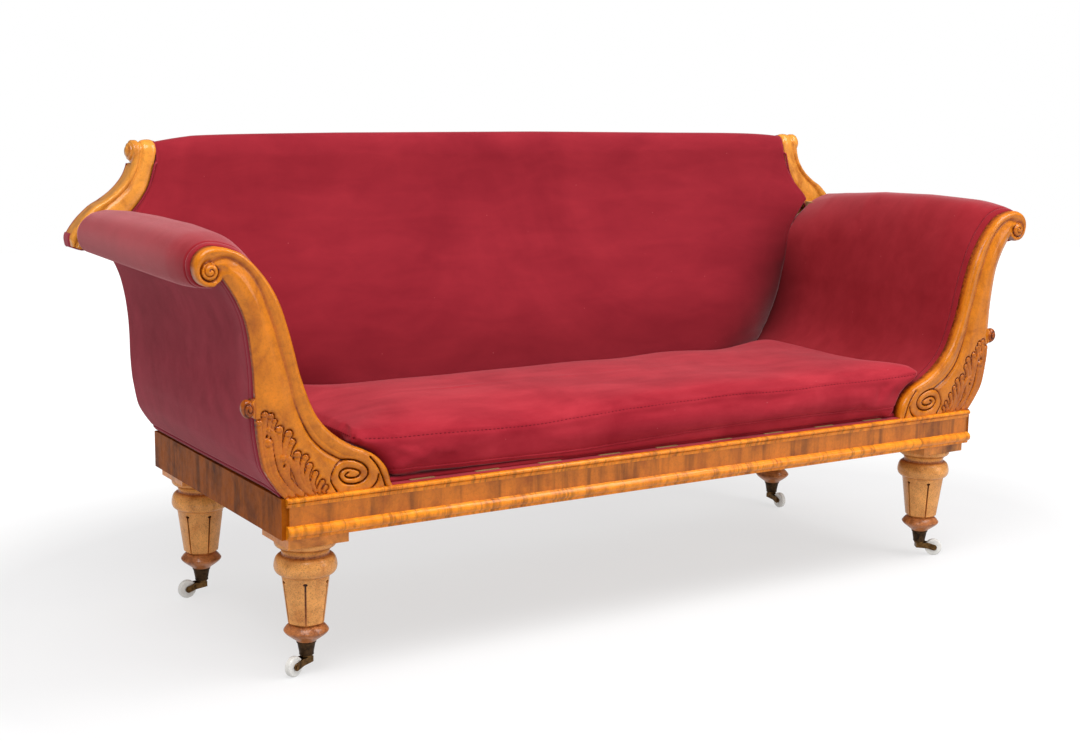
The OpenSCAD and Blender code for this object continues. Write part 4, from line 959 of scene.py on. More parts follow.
def back_cover():
    """The stuffed back, crowned between the arms and rolled over its top rail."""
    arm_side = SEAT_UP + normals_beside(SEAT_UP) * (ARM_STUFFING * arm_rise(SEAT_UP))[:, None] + TOE
    low = arm_side[arm_side[:, 1] < EAR_TURN - 1] - (0.3, 0)
    beside_arm = np.interp(EAR_SIDE[:, 1], arm_side[:, 1], arm_side[:, 0]) - 0.3
    high = np.stack([np.minimum(EAR_SIDE[:, 0] - 2, beside_arm), EAR_SIDE[:, 1]], axis=1)
    half, z = along(np.concatenate([low, high]), 120).T
    shares = spline(BACK_FACE_SHARES, 6)
    leaning = np.interp((z - BACK_FOOT) / (POST_TOP - BACK_FOOT), shares[:, 0], shares[:, 1])
    depth = BACK_TOP_Y + (BACK_LOW_Y - BACK_TOP_Y) * leaning
    roll_y, roll_z = back_roll()
    half = np.concatenate([half, np.interp(roll_z, EAR_INNER[:, 1], EAR_INNER[:, 0]) - 2])
    front_y = np.concatenate([depth, roll_y])
    front_z = np.concatenate([z, roll_z])
    back_y = np.concatenate([post_face(z) - 0.3, np.linspace(611.7, 649, len(roll_z))])
    back_z = np.concatenate([z, np.full(len(roll_z), POST_TOP + 0.3)])
    column = np.sin(np.radians(np.linspace(-90, 90, 121)))
    sunk = 1 - END_SINK * np.abs(column) ** 12
    rows = len(z)
    front, back = [], []
    for i in range(len(half)):
        x, height = column * half[i], front_z[i]
        from_side = half[i] - np.abs(x)
        onto_top = fade(height, 780, 900)
        onto_ear = fade(height, 690, 800)
        falling = np.interp(height, *CREASE_DEPTH) * toward_arm(from_side)
        drop = (falling + 4 * (1 - swell(from_side / 14))) * (1 - onto_ear)
        drop = drop + (5 - 2 * onto_top) * (1 - swell(from_side / 8)) * onto_ear
        lump = rumple(row(x, 0.0, height), 420, 11)
        drop = drop + np.minimum(lump, 1.0) * 2.5 * fade(from_side, 10, 120) * (1 - onto_top)
        seam = 1.9 * np.exp(-((from_side - 13) / 1.5) ** 2) * fade(height, 640, 700) * (i < rows + 8)
        y = front_y[i] + drop + seam * (1 - onto_top * 0.6)
        y = ROLL_MIDDLE + (y - ROLL_MIDDLE) * (1 - (1 - sunk) * onto_top)
        if i >= rows:
            height = POST_TOP + (height - POST_TOP) * (sunk + np.interp(column, *TOP_CROWN))
        front.append(row(x, y, height))
        back.append(row(x, back_y[i], back_z[i]))
    cover = slab("back_cover", front, back)
    # Painted shade in the creases beside the arms, deepening downwards, and over the lower part of the back.
    p = places(cover)
    beside = np.interp(p[:, 2], z, half[:rows]) - np.abs(p[:, 0])
    corner_shade, low_shade = toward_arm(beside * 1.3) * fade(p[:, 2], 800, 620), 0.42 * fade(p[:, 2], 620, 450)
    mark(cover, "painted_shade", np.maximum(corner_shade, low_shade))
    return cover


def ear_welt():
    """The covered cord between an ear and the stuffed back, from the arm up and over the roll."""
    path = [(x - 0.6, 592.5, z) for x, z in EAR_SIDE]
    for y, z in zip(*back_roll()):
        path.append((EAR_INNER[-1, 0] - 1.6, ROLL_MIDDLE + (y + 3 - ROLL_MIDDLE) * (1 - END_SINK),
                     POST_TOP + (z - POST_TOP) * (1 - END_SINK)))
    return tube("ear_welt", along(np.array(path), 140), 2.2)


def back_edge(z):
    """Half the width of the back's outside at a height."""
    low = np.interp(z, POST_EDGE[:, 1], POST_EDGE[:, 0])
    high = np.interp(z, EAR_OUTER[:, 1], EAR_OUTER[:, 0]) - 1
    return np.where(z < EAR_FOOT[1] + 1, low, high)


def post_cloth():
    """The cloth nailed over the outer edge of a back post and round the foot of the ear."""
    post = POST_EDGE[(POST_EDGE[:, 1] > 350) & (POST_EDGE[:, 1] < 710)]
    foot = EAR_INNER[EAR_INNER[:, 1] < EAR_FOOT[1] + 6][::-1]
    path = along(np.concatenate([post, foot, EAR_OUTER[EAR_OUTER[:, 1] < EAR_TIP] - (0.8, 0)]), 220)
    out = -normals_beside(path)
    start = np.where(path[:, 0] > EAR_FOOT[0] + 0.9 * EAR_SIZE[0], 612.4, 593.0)
    corner = 12 * fade(path[:, 1], 700, 660)
    end = np.maximum(post_face(path[:, 1]) + 38.2, start + 1.5)
    front, back = [], []
    for part in (0, 0.03, 0.08, 0.16, 0.3, 0.5, 0.7, 0.84, 0.92, 0.97, 1):
        lift = 0.7 + 2.1 * float(swell(min(part, 1 - part) / 0.16))
        y = start + (end - start) * part
        line = path + out * (lift + corner * (1 - fade(part, 0, 0.45)))[:, None]
        deep = path + out * 0.3
        front.append(row(line[:, 0], y, line[:, 1]))
        back.append(row(deep[:, 0], y, deep[:, 1]))
    return slab("post_cloth", front, back, FINE_MERGE)


def outside_back():
    """The plain cloth panel behind the back."""
    z = np.concatenate([np.linspace(350, EAR_FOOT[1], 40), np.linspace(EAR_FOOT[1] + 2, POST_TOP - 1, 30)])
    half = back_edge(z)
    column = np.linspace(-1, 1, 81)
    front, back = [], []
    for h, height in zip(half, z):
        x = column * h
        edge = np.minimum(h - np.abs(x), np.minimum(height - 349, POST_TOP - height) + 3)
        sag = rumple(row(x, 0.0, height), 500, 17) * fade(edge, 15, 160)
        y = post_face(height) + 32.3
        back.append(row(x, y, height))
        front.append(row(x, y + 6 - 1.2 * (1 - swell(edge / 6)) - 0.8 + 0.8 * sag, height))
    return slab("outside_back", front, back)


# Stuffing and seams

def stuff(piece, voxel, reach, pressure):
    """Lets a cover settle over its filling by cloth simulation, then rounds its facets once."""
    even = piece.modifiers.new("even mesh", "REMESH")
    even.mode = "VOXEL"
    even.voxel_size = voxel
    apply(piece, even)
    start = places(piece)
    cloth = piece.modifiers.new("settling", "CLOTH")
    cloth.settings.quality = 5
    cloth.settings.mass = 0.35
    cloth.settings.bending_stiffness = 0.3
    cloth.settings.use_pressure = True
    cloth.settings.uniform_pressure_force = pressure
    cloth.settings.effector_weights.gravity = 0
    cloth.settings.shrink_min = -0.004
    cloth.point_cache.frame_start, cloth.point_cache.frame_end = 1, 20
    for frame_number in range(1, 21):
        bpy.context.scene.frame_set(frame_number)
    apply(piece, cloth)
    bpy.context.scene.frame_set(1)
    moved = places(piece) - start
    length = np.maximum(np.linalg.norm(moved, axis=1, keepdims=True), 1e-6)
    move_points(piece, start + moved * np.minimum(1, reach / length))
    rounder = piece.modifiers.new("rounder", "SUBSURF")
    rounder.levels = 1
    apply(piece, rounder)


def onto(piece, path, lift=0.0):
    """The path laid on the nearest part of a piece's surface."""
    deselect()
    tree = BVHTree.FromPolygons([v.co for v in piece.data.vertices], [f.vertices for f in piece.data.polygons])
    laid = []
    for point in metres(path):
        spot, normal, _, _ = tree.find_nearest(Vector(point))
        laid.append(np.array(spot + normal * lift / 1000) * 1000 - (0, SHIFT, 0))
    laid = np.array(laid)
    for _ in range(2):
        laid[1:-1] = (laid[:-2] + 2 * laid[1:-1] + laid[2:]) / 4
    return laid


def pinch(piece, path, width, depth):
    """Draws the surface in along a seam."""
    p = places(piece)
    near = np.full(len(p), 1e9)
    for first in range(0, len(p), 20000):
        part = p[first:first + 20000]
        best = np.full(len(part), 1e9)
        for spot in path:
            best = np.minimum(best, ((part - spot) ** 2).sum(axis=1))
        near[first:first + 20000] = np.sqrt(best)
    normals = np.zeros(len(p) * 3)
    piece.data.vertices.foreach_get("normal", normals)
    move_points(piece, p - normals.reshape(-1, 3) * (depth * np.exp(-(near / width) ** 2))[:, None])


SQUAB_EARS = 92
DECK_TOP = 358.0
CUSHION_FRONT, CUSHION_LOW, CUSHION_TALL, CUSHION_CROWN, CUSHION_DEEP = -60, 358.6, 83.0, 22.0, 487 / 2
SIDE_SHARES = [(0, 8), (.02, 4.5), (.06, 2), (.14, .8), (.26, .2), (.4, 0), (.55, 0), (.7, .2), (.82, .8),
               (.9, 1.6), (.96, 3.2), (.99, 5.4), (1, 7)]
TOP_WAVE = ([-694, -594, -470, -339, -203, -90, 20, 225, 360, 472, 671], [3, -1, -5, -8, -2, 4, 8, 7, 4, 6, 5])
LOW_SEAM = ([-635, -511, -338, -200, -88, 73, 229, 392, 505, 635], [12, 10, 7, 8, 12, 18, 21, 20, 18, 14])


def cushion_half(z):
    """Half the squab's width at a height: it leaves a gap beside the arm that grows upwards."""
    edge = np.interp(z - TOE[1], INNER_EDGE[:, 1], INNER_EDGE[:, 0]) + TOE[0]
    return edge - (4 + 12 * max(0.0, (z - DECK_TOP) / CUSHION_TALL) ** 2.0)


def rounded_ring(half_x, half_y, z, corner, count):
    """A ring round the squab at a height, its back corners drawn out towards the arms."""
    loop = []
    for i, (cx, cy) in enumerate([(1, -1), (1, 1), (-1, 1), (-1, -1)]):
        middle = np.array([cx * (half_x - corner), cy * (half_y - corner)])
        for a in np.radians(np.linspace(-90, 0, 12) + 90 * i):
            loop.append(middle + (corner * math.cos(a), corner * math.sin(a)))
    loop.append(loop[0])
    x, y = along(np.array(loop), count + 1)[:-1].T
    ring = row(x, y + CUSHION_FRONT + CUSHION_DEEP, z)
    ring[:, 1] += SQUAB_EARS * toward_arm(CREASE_X - np.abs(x)) * fade(ring[:, 1], 150, 420)
    return ring


def cushion_rings(count=360):
    """The squab as a stack of rings, from its flat underside to its crown."""
    low, deep, top = CUSHION_LOW, CUSHION_DEEP, CUSHION_LOW + CUSHION_TALL
    rings = []
    for part in (0.02, 0.3, 0.6, 0.85, 0.96):
        rings.append(rounded_ring((cushion_half(low) - 9) * part, (deep - 9) * part, low, 30 * part, count))
    for share, inset in SIDE_SHARES:
        z = low + CUSHION_TALL * share
        rings.append(rounded_ring(cushion_half(z) - inset, deep - inset, z, 20, count))
    flat = cushion_half(top) - 7
    for part in np.linspace(0.985, 0.02, 34):
        rings.append(rounded_ring(flat - (1 - part) * deep * 0.98, part * (deep - 7),
                                  top + CUSHION_CROWN * (1 - part ** 3.2), 26 * part, count))
    return np.array(rings)


def cushion_seam(z, wave):
    """One seam round the squab, rising and falling along its front."""
    ring = rounded_ring(cushion_half(z), CUSHION_DEEP, z, 20, 420)
    ring[:, 2] += np.interp(ring[:, 0], *wave) * fade(ring[:, 1], 120, -40)
    return ring


def cushion(soft):
    """The squab, settled if it is to be soft, with the lines of its two seams."""
    rings = cushion_rings()
    piece = mesh_piece("squab", rings.reshape(-1, 3), capped(*rings.shape[:2]), FINE_MERGE)
    p = places(piece)
    p[:, 2] += rumple(p, 300, 21) * 3.2 * fade(p[:, 2], 430, 448) - 1.5 * fade(p[:, 2], 430, 448)
    p[:, 2] += np.interp(p[:, 0], *TOP_WAVE) * fade(p[:, 2], 385, 438) * fade(p[:, 1], 120, -40)
    p[:, 2] += 5 * fade(p[:, 0], -470, -640) * fade(p[:, 1], 60, -40) * fade(p[:, 2], 400, 372)
    p[:, 2] -= 7.2 * fade(p[:, 0], -360, -230) * fade(p[:, 1], -46, -54) * fade(p[:, 2], 374, 360)
    front = fade(p[:, 1], -20, -55)
    p[:, 1] += rumple(p * (1, 0, 0.6), 160, 8) * 1.8 * fade(p[:, 2], 372, 410) * front
    move_points(piece, p)
    if soft:
        stuff(piece, 0.0062, 6, 2.5)
    top = onto(piece, cushion_seam(CUSHION_LOW + CUSHION_TALL - 2, TOP_WAVE))
    low = onto(piece, cushion_seam(CUSHION_LOW, LOW_SEAM))
    pinch(piece, top, 4.5, 2.2)
    pinch(piece, low, 4.5, 2.4)
    p = places(piece)
    p[:, 1] = np.maximum(p[:, 1], -66.5)
    p[:, 2] = np.maximum(p[:, 2], np.where(p[:, 1] < -48, 350.8, CUSHION_LOW - 0.1))
    move_points(piece, p)
    return piece, onto(piece, top, -0.3), onto(piece, low, 0.6)


# The webbing

STRAP = 26.0
LONG_STRAPS = [49 + 429 * (k + 0.5) / 5 for k in range(5)]
CROSS_STRAPS = [1262 * (k + 0.5) / 9 - 631 for k in range(9)]


def strap(start, end, crossings, first_over, lengthwise):
    """One jute strap, over and under the straps that it crosses."""
    run = np.arange(start, end, 6.5)
    wave = np.zeros(len(run))
    for k, place in enumerate(crossings):
        wave += (1 if (k + first_over) % 2 else -1) * (1 - fade(np.abs(run - place), 30, 52))
    middle = 350.5 + 0.8 * wave
    sides = np.array([-STRAP, -STRAP + 0.6, -9, 0, 9, STRAP - 0.6, STRAP])
    thick = np.array([0.3, 0.6, 0.6, 0.6, 0.6, 0.6, 0.3])
    grids = []
    for sign in (1, -1):
        height = middle[:, None] + sign * thick
        along_x, across_x = np.meshgrid(run, sides, indexing="ij")
        grids.append(np.stack([along_x, across_x, height] if lengthwise else [across_x, along_x, height], axis=2))
    return grids


def woven_webbing():
    """The seat's jute webbing, woven from straps both ways."""
    straps = []
    for k, y in enumerate(LONG_STRAPS):
        top, bottom = strap(-824, 824, CROSS_STRAPS, k % 2, True)
        straps.append(slab("long_strap", top + (0, y, 0), bottom + (0, y, 0), FINE_MERGE))
    for k, x in enumerate(CROSS_STRAPS):
        top, bottom = strap(-52, 574, LONG_STRAPS, (k + 1) % 2, False)
        straps.append(slab("cross_strap", top + (x, 0, 0), bottom + (x, 0, 0), FINE_MERGE))
    return join("jute_webbing", *straps)


# The stage

SKY = 0.62


def pale_floor(size):
    """A floor of pale paper that glows, its glow dimmed a little round the sofa as a painted shadow, and dimmer as a
    light than to the camera.
    """
    deselect()
    bpy.ops.mesh.primitive_plane_add(size=size, location=(0, 0, 0))
    floor = bpy.context.object
    floor.name = "floor"
    paper = Finish("pale floor", Roughness=0.9, Emission_Color=(1, 1, 1, 1))
    # The floor glows; its glow is dimmed round the sofa as a painted shadow.
    near = paper.node("ShaderNodeTexGradient", {"Vector": paper.stretched((0.3, 0.42, 1))},
                      gradient_type="SPHERICAL")
    painted_shadow_glow = paper.ramp(near.outputs["Fac"], (0.0, 1.0), (0.3, 0.95), (0.6, 0.62))
    seen = paper.node("ShaderNodeLightPath", {}).outputs["Is Camera Ray"]
    dimmer = paper.ramp(seen, (0.0, SKY), (1.0, 1.0))
    shown = paper.node("ShaderNodeMath", {0: painted_shadow_glow, 1: dimmer}, operation="MULTIPLY")
    paper.tree.links.new(shown.outputs[0], paper.shader.inputs["Emission Strength"])
    paper.finish(paper.ramp(paper.noise(2, 2), (0.3, shade(140, 140, 141)), (0.7, shade(144, 144, 144))))
    floor.data.materials.append(paper.material)


def studio_world():
    """White surroundings: full to the camera, dimmer as a light, dimmest in reflections."""
    world = bpy.data.worlds.new("studio")
    world.use_nodes = True
    tree = world.node_tree
    sky = tree.nodes["Background"]
    sky.inputs[0].default_value = (1, 1, 1, 1)
    rays = tree.nodes.new("ShaderNodeLightPath").outputs
    reflected, seen = tree.nodes.new("ShaderNodeMix"), tree.nodes.new("ShaderNodeMix")
    reflected.inputs[2].default_value = SKY
    for step, ray, strength in ((reflected, "Is Glossy Ray", 0.14), (seen, "Is Camera Ray", 1.0)):
        tree.links.new(rays[ray], step.inputs[0])
        step.inputs[3].default_value = strength
    tree.links.new(reflected.outputs[0], seen.inputs[2])
    tree.links.new(seen.outputs[0], sky.inputs[1])
    bpy.context.scene.world = world


def soft_light(name, at, target, size, watts):
    """A square lamp at a place, turned to its target."""
    lamp = bpy.data.lights.new(name, "AREA")
    lamp.size, lamp.energy = size, watts
    light = linked(name, lamp)
    light.location = at
    light.rotation_euler = (Vector(target) - Vector(at)).to_track_quat("-Z", "Y").to_euler()


def photo_camera():
    """The camera as it stood for the photo."""
    eye = bpy.data.cameras.new("camera")
    eye.lens, eye.sensor_width, eye.sensor_fit = 55.71, 36, "HORIZONTAL"
    camera = linked("camera", eye)
    yaw, pitch, roll = 0.564, 0.1754, -0.0145
    ahead = Vector((math.sin(yaw) * math.cos(pitch), math.cos(yaw) * math.cos(pitch), -math.sin(pitch)))
    level = Vector((math.cos(yaw), -math.sin(yaw), 0))
    below = ahead.cross(level)
    right = math.cos(roll) * level + math.sin(roll) * below
    down = -math.sin(roll) * level + math.cos(roll) * below
    turn = Matrix((right, -down, -ahead)).transposed().to_4x4()
    camera.matrix_world = Matrix.Translation((-1.9879, -2.99325, 1.0896)) @ turn
    bpy.context.scene.camera = camera


# The add-on

class SofaLooks(bpy.types.PropertyGroup):
    settle: bpy.props.BoolProperty(
        name="Settle the stuffing", default=True,
        description="Let the squab's cover settle over its filling by cloth simulation")
    carving_pitch: bpy.props.FloatProperty(
        name="Carving pitch", description="Distance between the points of the carved arm fronts",
        default=0.00145, min=0.0008, max=0.004, unit="LENGTH")
    wood: bpy.props.FloatVectorProperty(
        name="Maple tint", description="Tint laid over all the polished maple", default=(1, 1, 1), size=3,
        min=0, max=1.2, subtype="COLOR")
    cloth: bpy.props.FloatVectorProperty(
        name="Velvet tint", description="Tint laid over all the velvet", default=(1, 1, 1), size=3,
        min=0, max=1.2, subtype="COLOR")
    key_light: bpy.props.FloatProperty(
        name="Key lights", description="Power of each of the two soft lights above the sofa", default=46.0, min=0.0,
        unit="POWER")
    floor_size: bpy.props.FloatProperty(
        name="Floor", description="Side of the pale floor", default=14.0, min=4.0, unit="LENGTH")


class SOFA_OT_arm_fronts(bpy.types.Operator):
    """Carve the two scroll arm fronts with their bead, volutes and acanthus"""
    bl_idname = "sofa.arm_fronts"
    bl_label = "Carved arm fronts"

    def execute(self, context):
        looks = context.scene.sofa
        right = arm_front(looks.carving_pitch * 1000)
        settle_pair(right, "arm_front_carved_", maple("carved maple", looks, patina_and_shade=True), "maple", "arm_front_")
        return {"FINISHED"}


class SOFA_OT_rails(bpy.types.Operator):
    """Finish the seat rails and the front mouldings in cross-banded maple"""
    bl_idname = "sofa.rails"
    bl_label = "Seat rails"

    def execute(self, context):
        looks = context.scene.sofa
        banded = maple("cross-banded maple", looks, (196, 108, 18), (152, 74, 8), 9, streak=(34, 8, 2.0),
                       bands=(0.5, 0.85))
        bead = maple("moulded maple", looks, (240, 140, 22), (192, 100, 10), 22, streak=(110, 10, 6),
                     bands=(0.55, 0.88))
        # The side rails take a darker maple without gloss: painted shade for sides that face away from the lights.
        side = maple("shaded rail maple", looks, (150, 76, 8), (104, 46, 3), 14, streak=(3, 30, 5), bands=(0.5, 0.85),
                     gloss=0.0)
        for node, finish in (("front_frieze", banded), ("rail_top_bead", bead), ("rail_torus", bead),
                             ("side_rail_left", side), ("side_rail_right", side)):
            dress(node, finish)
        return {"FINISHED"}


def dress(node, finish):
    """Gives a node of the frame its finish."""
    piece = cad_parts[node]
    for k in range(max(1, len(piece.material_slots))):
        if k < len(piece.material_slots):
            piece.material_slots[k].material = finish
        else:
            piece.data.materials.append(finish)


LEG_TOP = [(15, 256), (55, 254), (56.5, 252), (57, 249), (56, 245), (54, 242.6), (51.5, 241), (47, 237.5),
           (44.6, 233.5), (44, 230), (44, 226.5), (46, 225.6), (50, 224.3), (54, 220.5), (56.6, 214), (57.8, 207),
           (57.8, 202), (56.3, 196.5), (53.4, 192.6), (50.6, 190.6), (48.6, 189.9), (47.6, 189), (46, 188.2),
           (30, 188)]
LEG_REEL = [(24, 99), (28, 94.5), (30, 93.6), (34, 91), (37.6, 87.4), (40.4, 83.6), (41.6, 81.6), (40.8, 79.4),
            (37.6, 75.6), (33.4, 72.2), (28.5, 68.4), (23.6, 64.9), (20, 62), (18, 60.2), (10, 60.1)]
BODY_HEIGHTS, BODY_RADII = [94, 96.5, 98.5, 189.4], [28.8, 32.4, 36, 48]


def leg_body():
    """The six-sided fluted body, its corners at the flutes."""
    heights = np.concatenate([[94, 96.5, 98.5, 99.5], np.linspace(102, 186, 15), [188.6, 189.4]])
    steps, rings = 12, []
    a = np.arange(6 * steps) / steps * 60
    off = np.abs(a % 60 - 30)
    for z in heights:
        r = np.interp(z, BODY_HEIGHTS, BODY_RADII)
        flat = r * math.cos(math.radians(30)) / np.cos(np.radians(off))
        reach = flat + (r - flat) * 0.45 - 0.5 * (off > 29)
        rings.append(row(reach * np.cos(np.radians(a)), reach * np.sin(np.radians(a)) - SHIFT, z))
    return mesh_piece("leg_body", np.concatenate(rings), capped(len(heights), len(a)), FINE_MERGE)


def flute_tool(turn):
    """A long keyhole, a narrow slot with a small round head, leaning with the body's side."""
    lean = math.atan2(BODY_RADII[-1] - BODY_RADII[-2], 91)
    head = [(4.2 * math.sin(math.radians(a)), 80.5 - 3.0 * math.cos(math.radians(a))) for a in range(40, 330, 29)]
    shape = [(-1.7, -3), (1.7, -3), (1.7, 77.6), *head, (-1.7, 77.6)]
    points = [(x, y, z) for x in (-6.0, 7) for y, z in shape]
    n = len(shape)
    faces = [list(range(n))[::-1], [n + k for k in range(n)]]
    faces += [[k, (k + 1) % n, n + (k + 1) % n, n + k] for k in range(n)]
    points = np.array(points, float)
    points[:, 1] -= SHIFT
    tool = mesh_piece("flute_tool", points, faces, FINE_MERGE)
    tool.data.transform(Matrix.Rotation(math.radians(turn), 4, "Z") @ Matrix.Translation((0.0355, 0, 0.0985))
                        @ Matrix.Rotation(lean, 4, "Y"))
    return tool


class SOFA_OT_legs(bpy.types.Operator):
    """Turn one leg, cut its flutes, and set a copy under each corner"""
    bl_idname = "sofa.legs"
    bl_label = "Turned legs"

    def execute(self, context):
        looks = context.scene.sofa
        body = leg_body()
        cut(body, *[flute_tool(60 * k) for k in range(6)])
        head = turned("leg_head", spline(LEG_TOP, 2), 96)
        leg = join("leg", body, head)
        p = places(leg) + (0, SHIFT, 0)
        radius = np.hypot(p[:, 0], p[:, 1])
        body_radius = np.interp(p[:, 2], BODY_HEIGHTS, BODY_RADII)
        in_body = (p[:, 2] > 94) & (p[:, 2] < 189)
        # Painted shade, with the polish's patina: the insides of the flutes fully dark, and thin dark bands at the
        # turned grooves of the head.
        patina_and_shade = np.where(in_body & (radius < body_radius * 0.9 - 1.2), 1.0, 0)
        for z, width, amount in ((241.5, 2.4, 0.4), (228, 3.0, 0.5), (189.6, 1.8, 0.3)):
            patina_and_shade = np.maximum(patina_and_shade, amount * np.exp(-((p[:, 2] - z) / width) ** 2) * ~in_body)
        mark(leg, "patina_and_shade", patina_and_shade)
        smooth(leg, 32)
        reel = turned("reel", spline(LEG_REEL, 2), 96)
        smooth(reel, 50)
        pale = maple("leg maple", looks, (228, 156, 82), (200, 124, 56), 24, patina_and_shade=True, speckle=0.5)
        dark = maple("reel maple", looks, (184, 112, 62), (116, 60, 28), 40, speckle=0.5)
        square = maple("tablet maple", looks, (226, 138, 52), (172, 94, 30), 20, streak=(20, 20, 6))
        for name, (x, y) in LEG_PLACES.items():
            turn = Matrix.Rotation(math.radians(-90 - FLUTE_TURNS[name]), 4, "Z")
            spot = Matrix.Translation((x / 1000, (y + SHIFT) / 1000, 0)) @ turn
            settle(copied(leg, "turned_leg_" + name, spot), pale, "maple", ["leg_" + name])
            settle(copied(reel, "reel_" + name, spot), dark, "maple", [])
            dress("tablet_" + name, square)
        bpy.data.objects.remove(leg)
        bpy.data.objects.remove(reel)
        return {"FINISHED"}


class SOFA_OT_casters(bpy.types.Operator):
    """Finish the casters in bronze, brass and glazed ceramic"""
    bl_idname = "sofa.casters"
    bl_label = "Casters"

    def execute(self, context):
        bronze = plain("dark bronze", (88, 66, 46), (40, 32, 26), 90, 1.0, (0.35, 0.6))
        brass = plain("worn brass", (130, 96, 56), (56, 42, 28), 110, 1.0, (0.3, 0.5))
        ceramic = plain("glazed ceramic", (238, 236, 230), (216, 214, 210), 30, 0.0, (0.2, 0.3), 0.3, 0.0001)
        for name in LEG_PLACES:
            dress("cup_" + name, bronze)
            dress("horn_" + name, brass)
            dress("axle_" + name, brass)
            dress("wheel_" + name, ceramic)
        return {"FINISHED"}


class SOFA_OT_ears(bpy.types.Operator):
    """Shape the rolled show-wood ears at the top corners of the back"""
    bl_idname = "sofa.ears"
    bl_label = "Ears of the back"

    def execute(self, context):
        looks = context.scene.sofa
        right = ear()
        smooth(right, 50)
        finish = maple("ear maple", looks, (214, 140, 50), (168, 92, 22), 18, gloss=0.8)
        settle_pair(right, "ear_", finish, "maple", "back_ear_")
        for side in SIDES:
            dress("back_post_" + side, finish)
        cloth = outside_velvet(looks)
        for made, name in ((post_cloth(), "post_cloth_"), (ear_welt(), "ear_welt_")):
            smooth(made, 60)
            settle_pair(made, name, cloth, "velvet")
        return {"FINISHED"}


class SOFA_OT_arm_covers(bpy.types.Operator):
    """Upholster the arms inside and outside"""
    bl_idname = "sofa.arm_covers"
    bl_label = "Arm upholstery"

    def execute(self, context):
        looks = context.scene.sofa
        # Each velvet copy has its own tone, set to how brightly its piece is lit: painted light and shade.
        cloth = velvet("arm velvet", looks, (128, 26, 34), (150, 40, 48), 0.75, 3)
        outer, seam_line_shade = outside_velvet(looks), seam_shade_velvet(looks)
        for side in SIDES:
            pad, seam = arm_cover(side)
            outside = outside_cover()
            for piece, finish, nodes, name in ((pad, cloth, ["arm_pad_" + side], "stuffed_arm_"),
                                               (outside, outer, ["arm_outside_" + side], "arm_outside_cloth_"),
                                               (seam, seam_line_shade, [], "arm_seam_")):
                smooth(piece, 60)
                if side == "left":
                    right, piece = piece, copied(piece, name + side, MIRROR)
                    bpy.data.objects.remove(right)
                piece.name = name + side
                settle(piece, finish, "velvet", nodes)
        return {"FINISHED"}


class SOFA_OT_back_covers(bpy.types.Operator):
    """Upholster the back, its rolled top and its outside"""
    bl_idname = "sofa.back_covers"
    bl_label = "Back upholstery"

    def execute(self, context):
        looks = context.scene.sofa
        stuffed, outside = back_cover(), outside_back()
        smooth(stuffed, 60)
        smooth(outside, 60)
        stuffed.name = "stuffed_back"
        outside.name = "outside_back_cloth"
        # The back's velvet is darker than the seat's: painted shade for its less lit face.
        settle(stuffed, velvet("back velvet", looks, (122, 26, 37), (146, 38, 48), 0.5, 2), "velvet", ["back_pad"])
        settle(outside, outside_velvet(looks), "velvet", ["back_outside"])
        return {"FINISHED"}


DECK_HALF = 629
DECK_FACE = [(-44, 349.3), (-45.4, 350.5), (-46, 353), (-45.6, 356), (-44, 357.6), (-41, DECK_TOP), (-30, DECK_TOP),
             (200, DECK_TOP), (431, DECK_TOP)]
DECK_UNDER = [(-43, 349.3), (-42.6, 349.4), (-42, 349.6), (-41, 350), (-40, 351.5), (-39, 352.2), (-30, 352.3),
              (200, 352.3), (431, 352.3)]


class SOFA_OT_seat(bpy.types.Operator):
    """Lay the webbing and the covered deck"""
    bl_idname = "sofa.seat"
    bl_label = "Seat deck"

    def execute(self, context):
        looks = context.scene.sofa
        across = np.linspace(-1, 1, 81)
        x = DECK_HALF * across
        ears = SQUAB_EARS * toward_arm(CREASE_X - np.abs(x))
        front, back = (np.array([row(x, y + ears * (y > 400), z) for y, z in line])
                       for line in (DECK_FACE, DECK_UNDER))
        lip = [np.array([row(632 * across, y, z) for y in (-63.2, -62.6, -52, -38)]) for z in (350.0, 349.2)]
        deck = join("covered_deck", slab("covered_deck", front, back), slab("deck_lip", *lip))
        smooth(deck, 50)
        settle(deck, velvet("seat velvet", looks), "velvet", ["seat_deck"])
        webbing = woven_webbing()
        smooth(webbing, 50)
        settle(webbing, jute(), "jute", ["seat_webbing"])
        return {"FINISHED"}


class SOFA_OT_cushion(bpy.types.Operator):
    """Stuff the loose squab cushion and sew its seams"""
    bl_idname = "sofa.cushion"
    bl_label = "Squab cushion"

    def execute(self, context):
        looks = context.scene.sofa
        piece, top, low = cushion(looks.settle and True)
        smooth(piece, 60)
        piece.name = "squab_cushion"
        cloth = velvet("seat velvet", looks)
        settle(piece, cloth, "velvet", ["seat_cushion"], "cushion")
        for name, line, radius, finish in (("top_seam", top, 0.8, seam_shade_velvet(looks)), ("low_welt", low, 1.7, cloth)):
            cord = tube(name, line, radius, closed=True)
            smooth(cord, 60)
            settle(cord, finish, "velvet", [], "cushion")
        return {"FINISHED"}


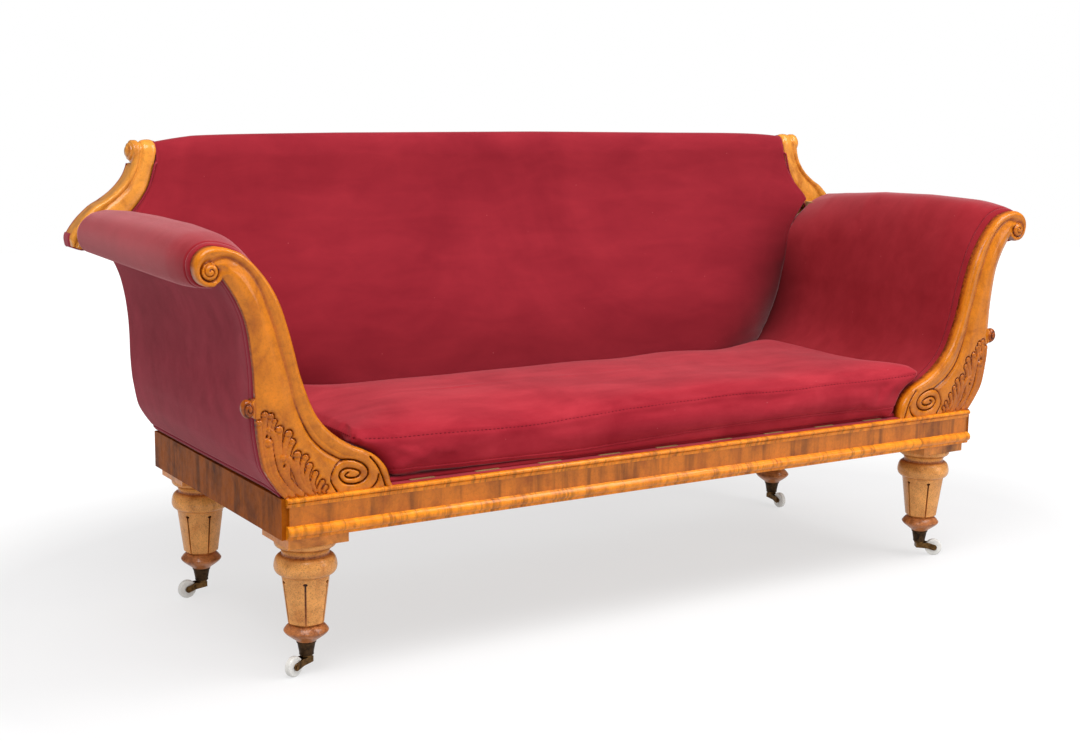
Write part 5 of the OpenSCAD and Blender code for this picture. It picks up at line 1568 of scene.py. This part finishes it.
class SOFA_OT_frame_wood(bpy.types.Operator):
    """Finish the inner frame in plain deal"""
    bl_idname = "sofa.frame_wood"
    bl_label = "Frame wood"

    def execute(self, context):
        looks = context.scene.sofa
        deal = plain("deal", (196, 160, 110), (150, 112, 68), 24, 0, (0.6, 0.8))
        dress("back_rail", maple("back rail wood", looks, (150, 98, 46), (108, 64, 26), 14, streak=(2, 30, 24),
                                 bands=(0.7, 0.9), gloss=0.0))
        inside_arms = [kind + side for kind in ("arm_stump_", "arm_back_stump_", "arm_top_rail_") for side in SIDES]
        for node in ["front_rail", "seat_bearers", "corner_blocks", "back_top_rail", "back_stay_rail",
                     "back_muntin"] + inside_arms:
            dress(node, deal)
        return {"FINISHED"}


class SOFA_OT_stage(bpy.types.Operator):
    """Set the pale floor, the soft studio lights and the camera"""
    bl_idname = "sofa.stage"
    bl_label = "Stage"

    def execute(self, context):
        looks = context.scene.sofa
        pale_floor(looks.floor_size)
        studio_world()
        power = looks.key_light
        soft_light("left key", (-1.25, -1.0, 2.5), (-0.5, 0, 0.5), 1.5, power)
        soft_light("right key", (1.2, -0.9, 2.5), (0.5, 0, 0.5), 1.5, power)
        soft_light("fill", (2.6, -3.4, 1.5), (0, 0, 0.5), 1.6, power * 0.5)
        photo_camera()
        context.scene.view_settings.view_transform = "Standard"
        return {"FINISHED"}


STEPS = (SOFA_OT_stage, SOFA_OT_arm_fronts, SOFA_OT_rails, SOFA_OT_legs, SOFA_OT_casters, SOFA_OT_ears,
         SOFA_OT_arm_covers, SOFA_OT_back_covers, SOFA_OT_seat, SOFA_OT_cushion, SOFA_OT_frame_wood)


class SOFA_PT_panel(bpy.types.Panel):
    bl_label = "Scroll-arm sofa"
    bl_space_type = "VIEW_3D"
    bl_region_type = "UI"
    bl_category = "Sofa"

    def draw(self, context):
        looks = context.scene.sofa
        for name in SofaLooks.__annotations__:
            self.layout.prop(looks, name)
        for step in STEPS:
            self.layout.operator(step.bl_idname)


CLASSES = (SofaLooks, *STEPS, SOFA_PT_panel)


def register():
    for kind in CLASSES:
        bpy.utils.register_class(kind)
    bpy.types.Scene.sofa = bpy.props.PointerProperty(type=SofaLooks)


def unregister():
    del bpy.types.Scene.sofa
    for kind in reversed(CLASSES):
        bpy.utils.unregister_class(kind)


def main():
    register()
    bpy.ops.sofa.stage()
    bpy.ops.sofa.arm_fronts()
    bpy.ops.sofa.rails()
    bpy.ops.sofa.legs()
    bpy.ops.sofa.casters()
    bpy.ops.sofa.ears()
    bpy.ops.sofa.arm_covers()
    bpy.ops.sofa.back_covers()
    bpy.ops.sofa.seat()
    bpy.ops.sofa.cushion()
    bpy.ops.sofa.frame_wood()


if __name__ == "__main__":
    main()
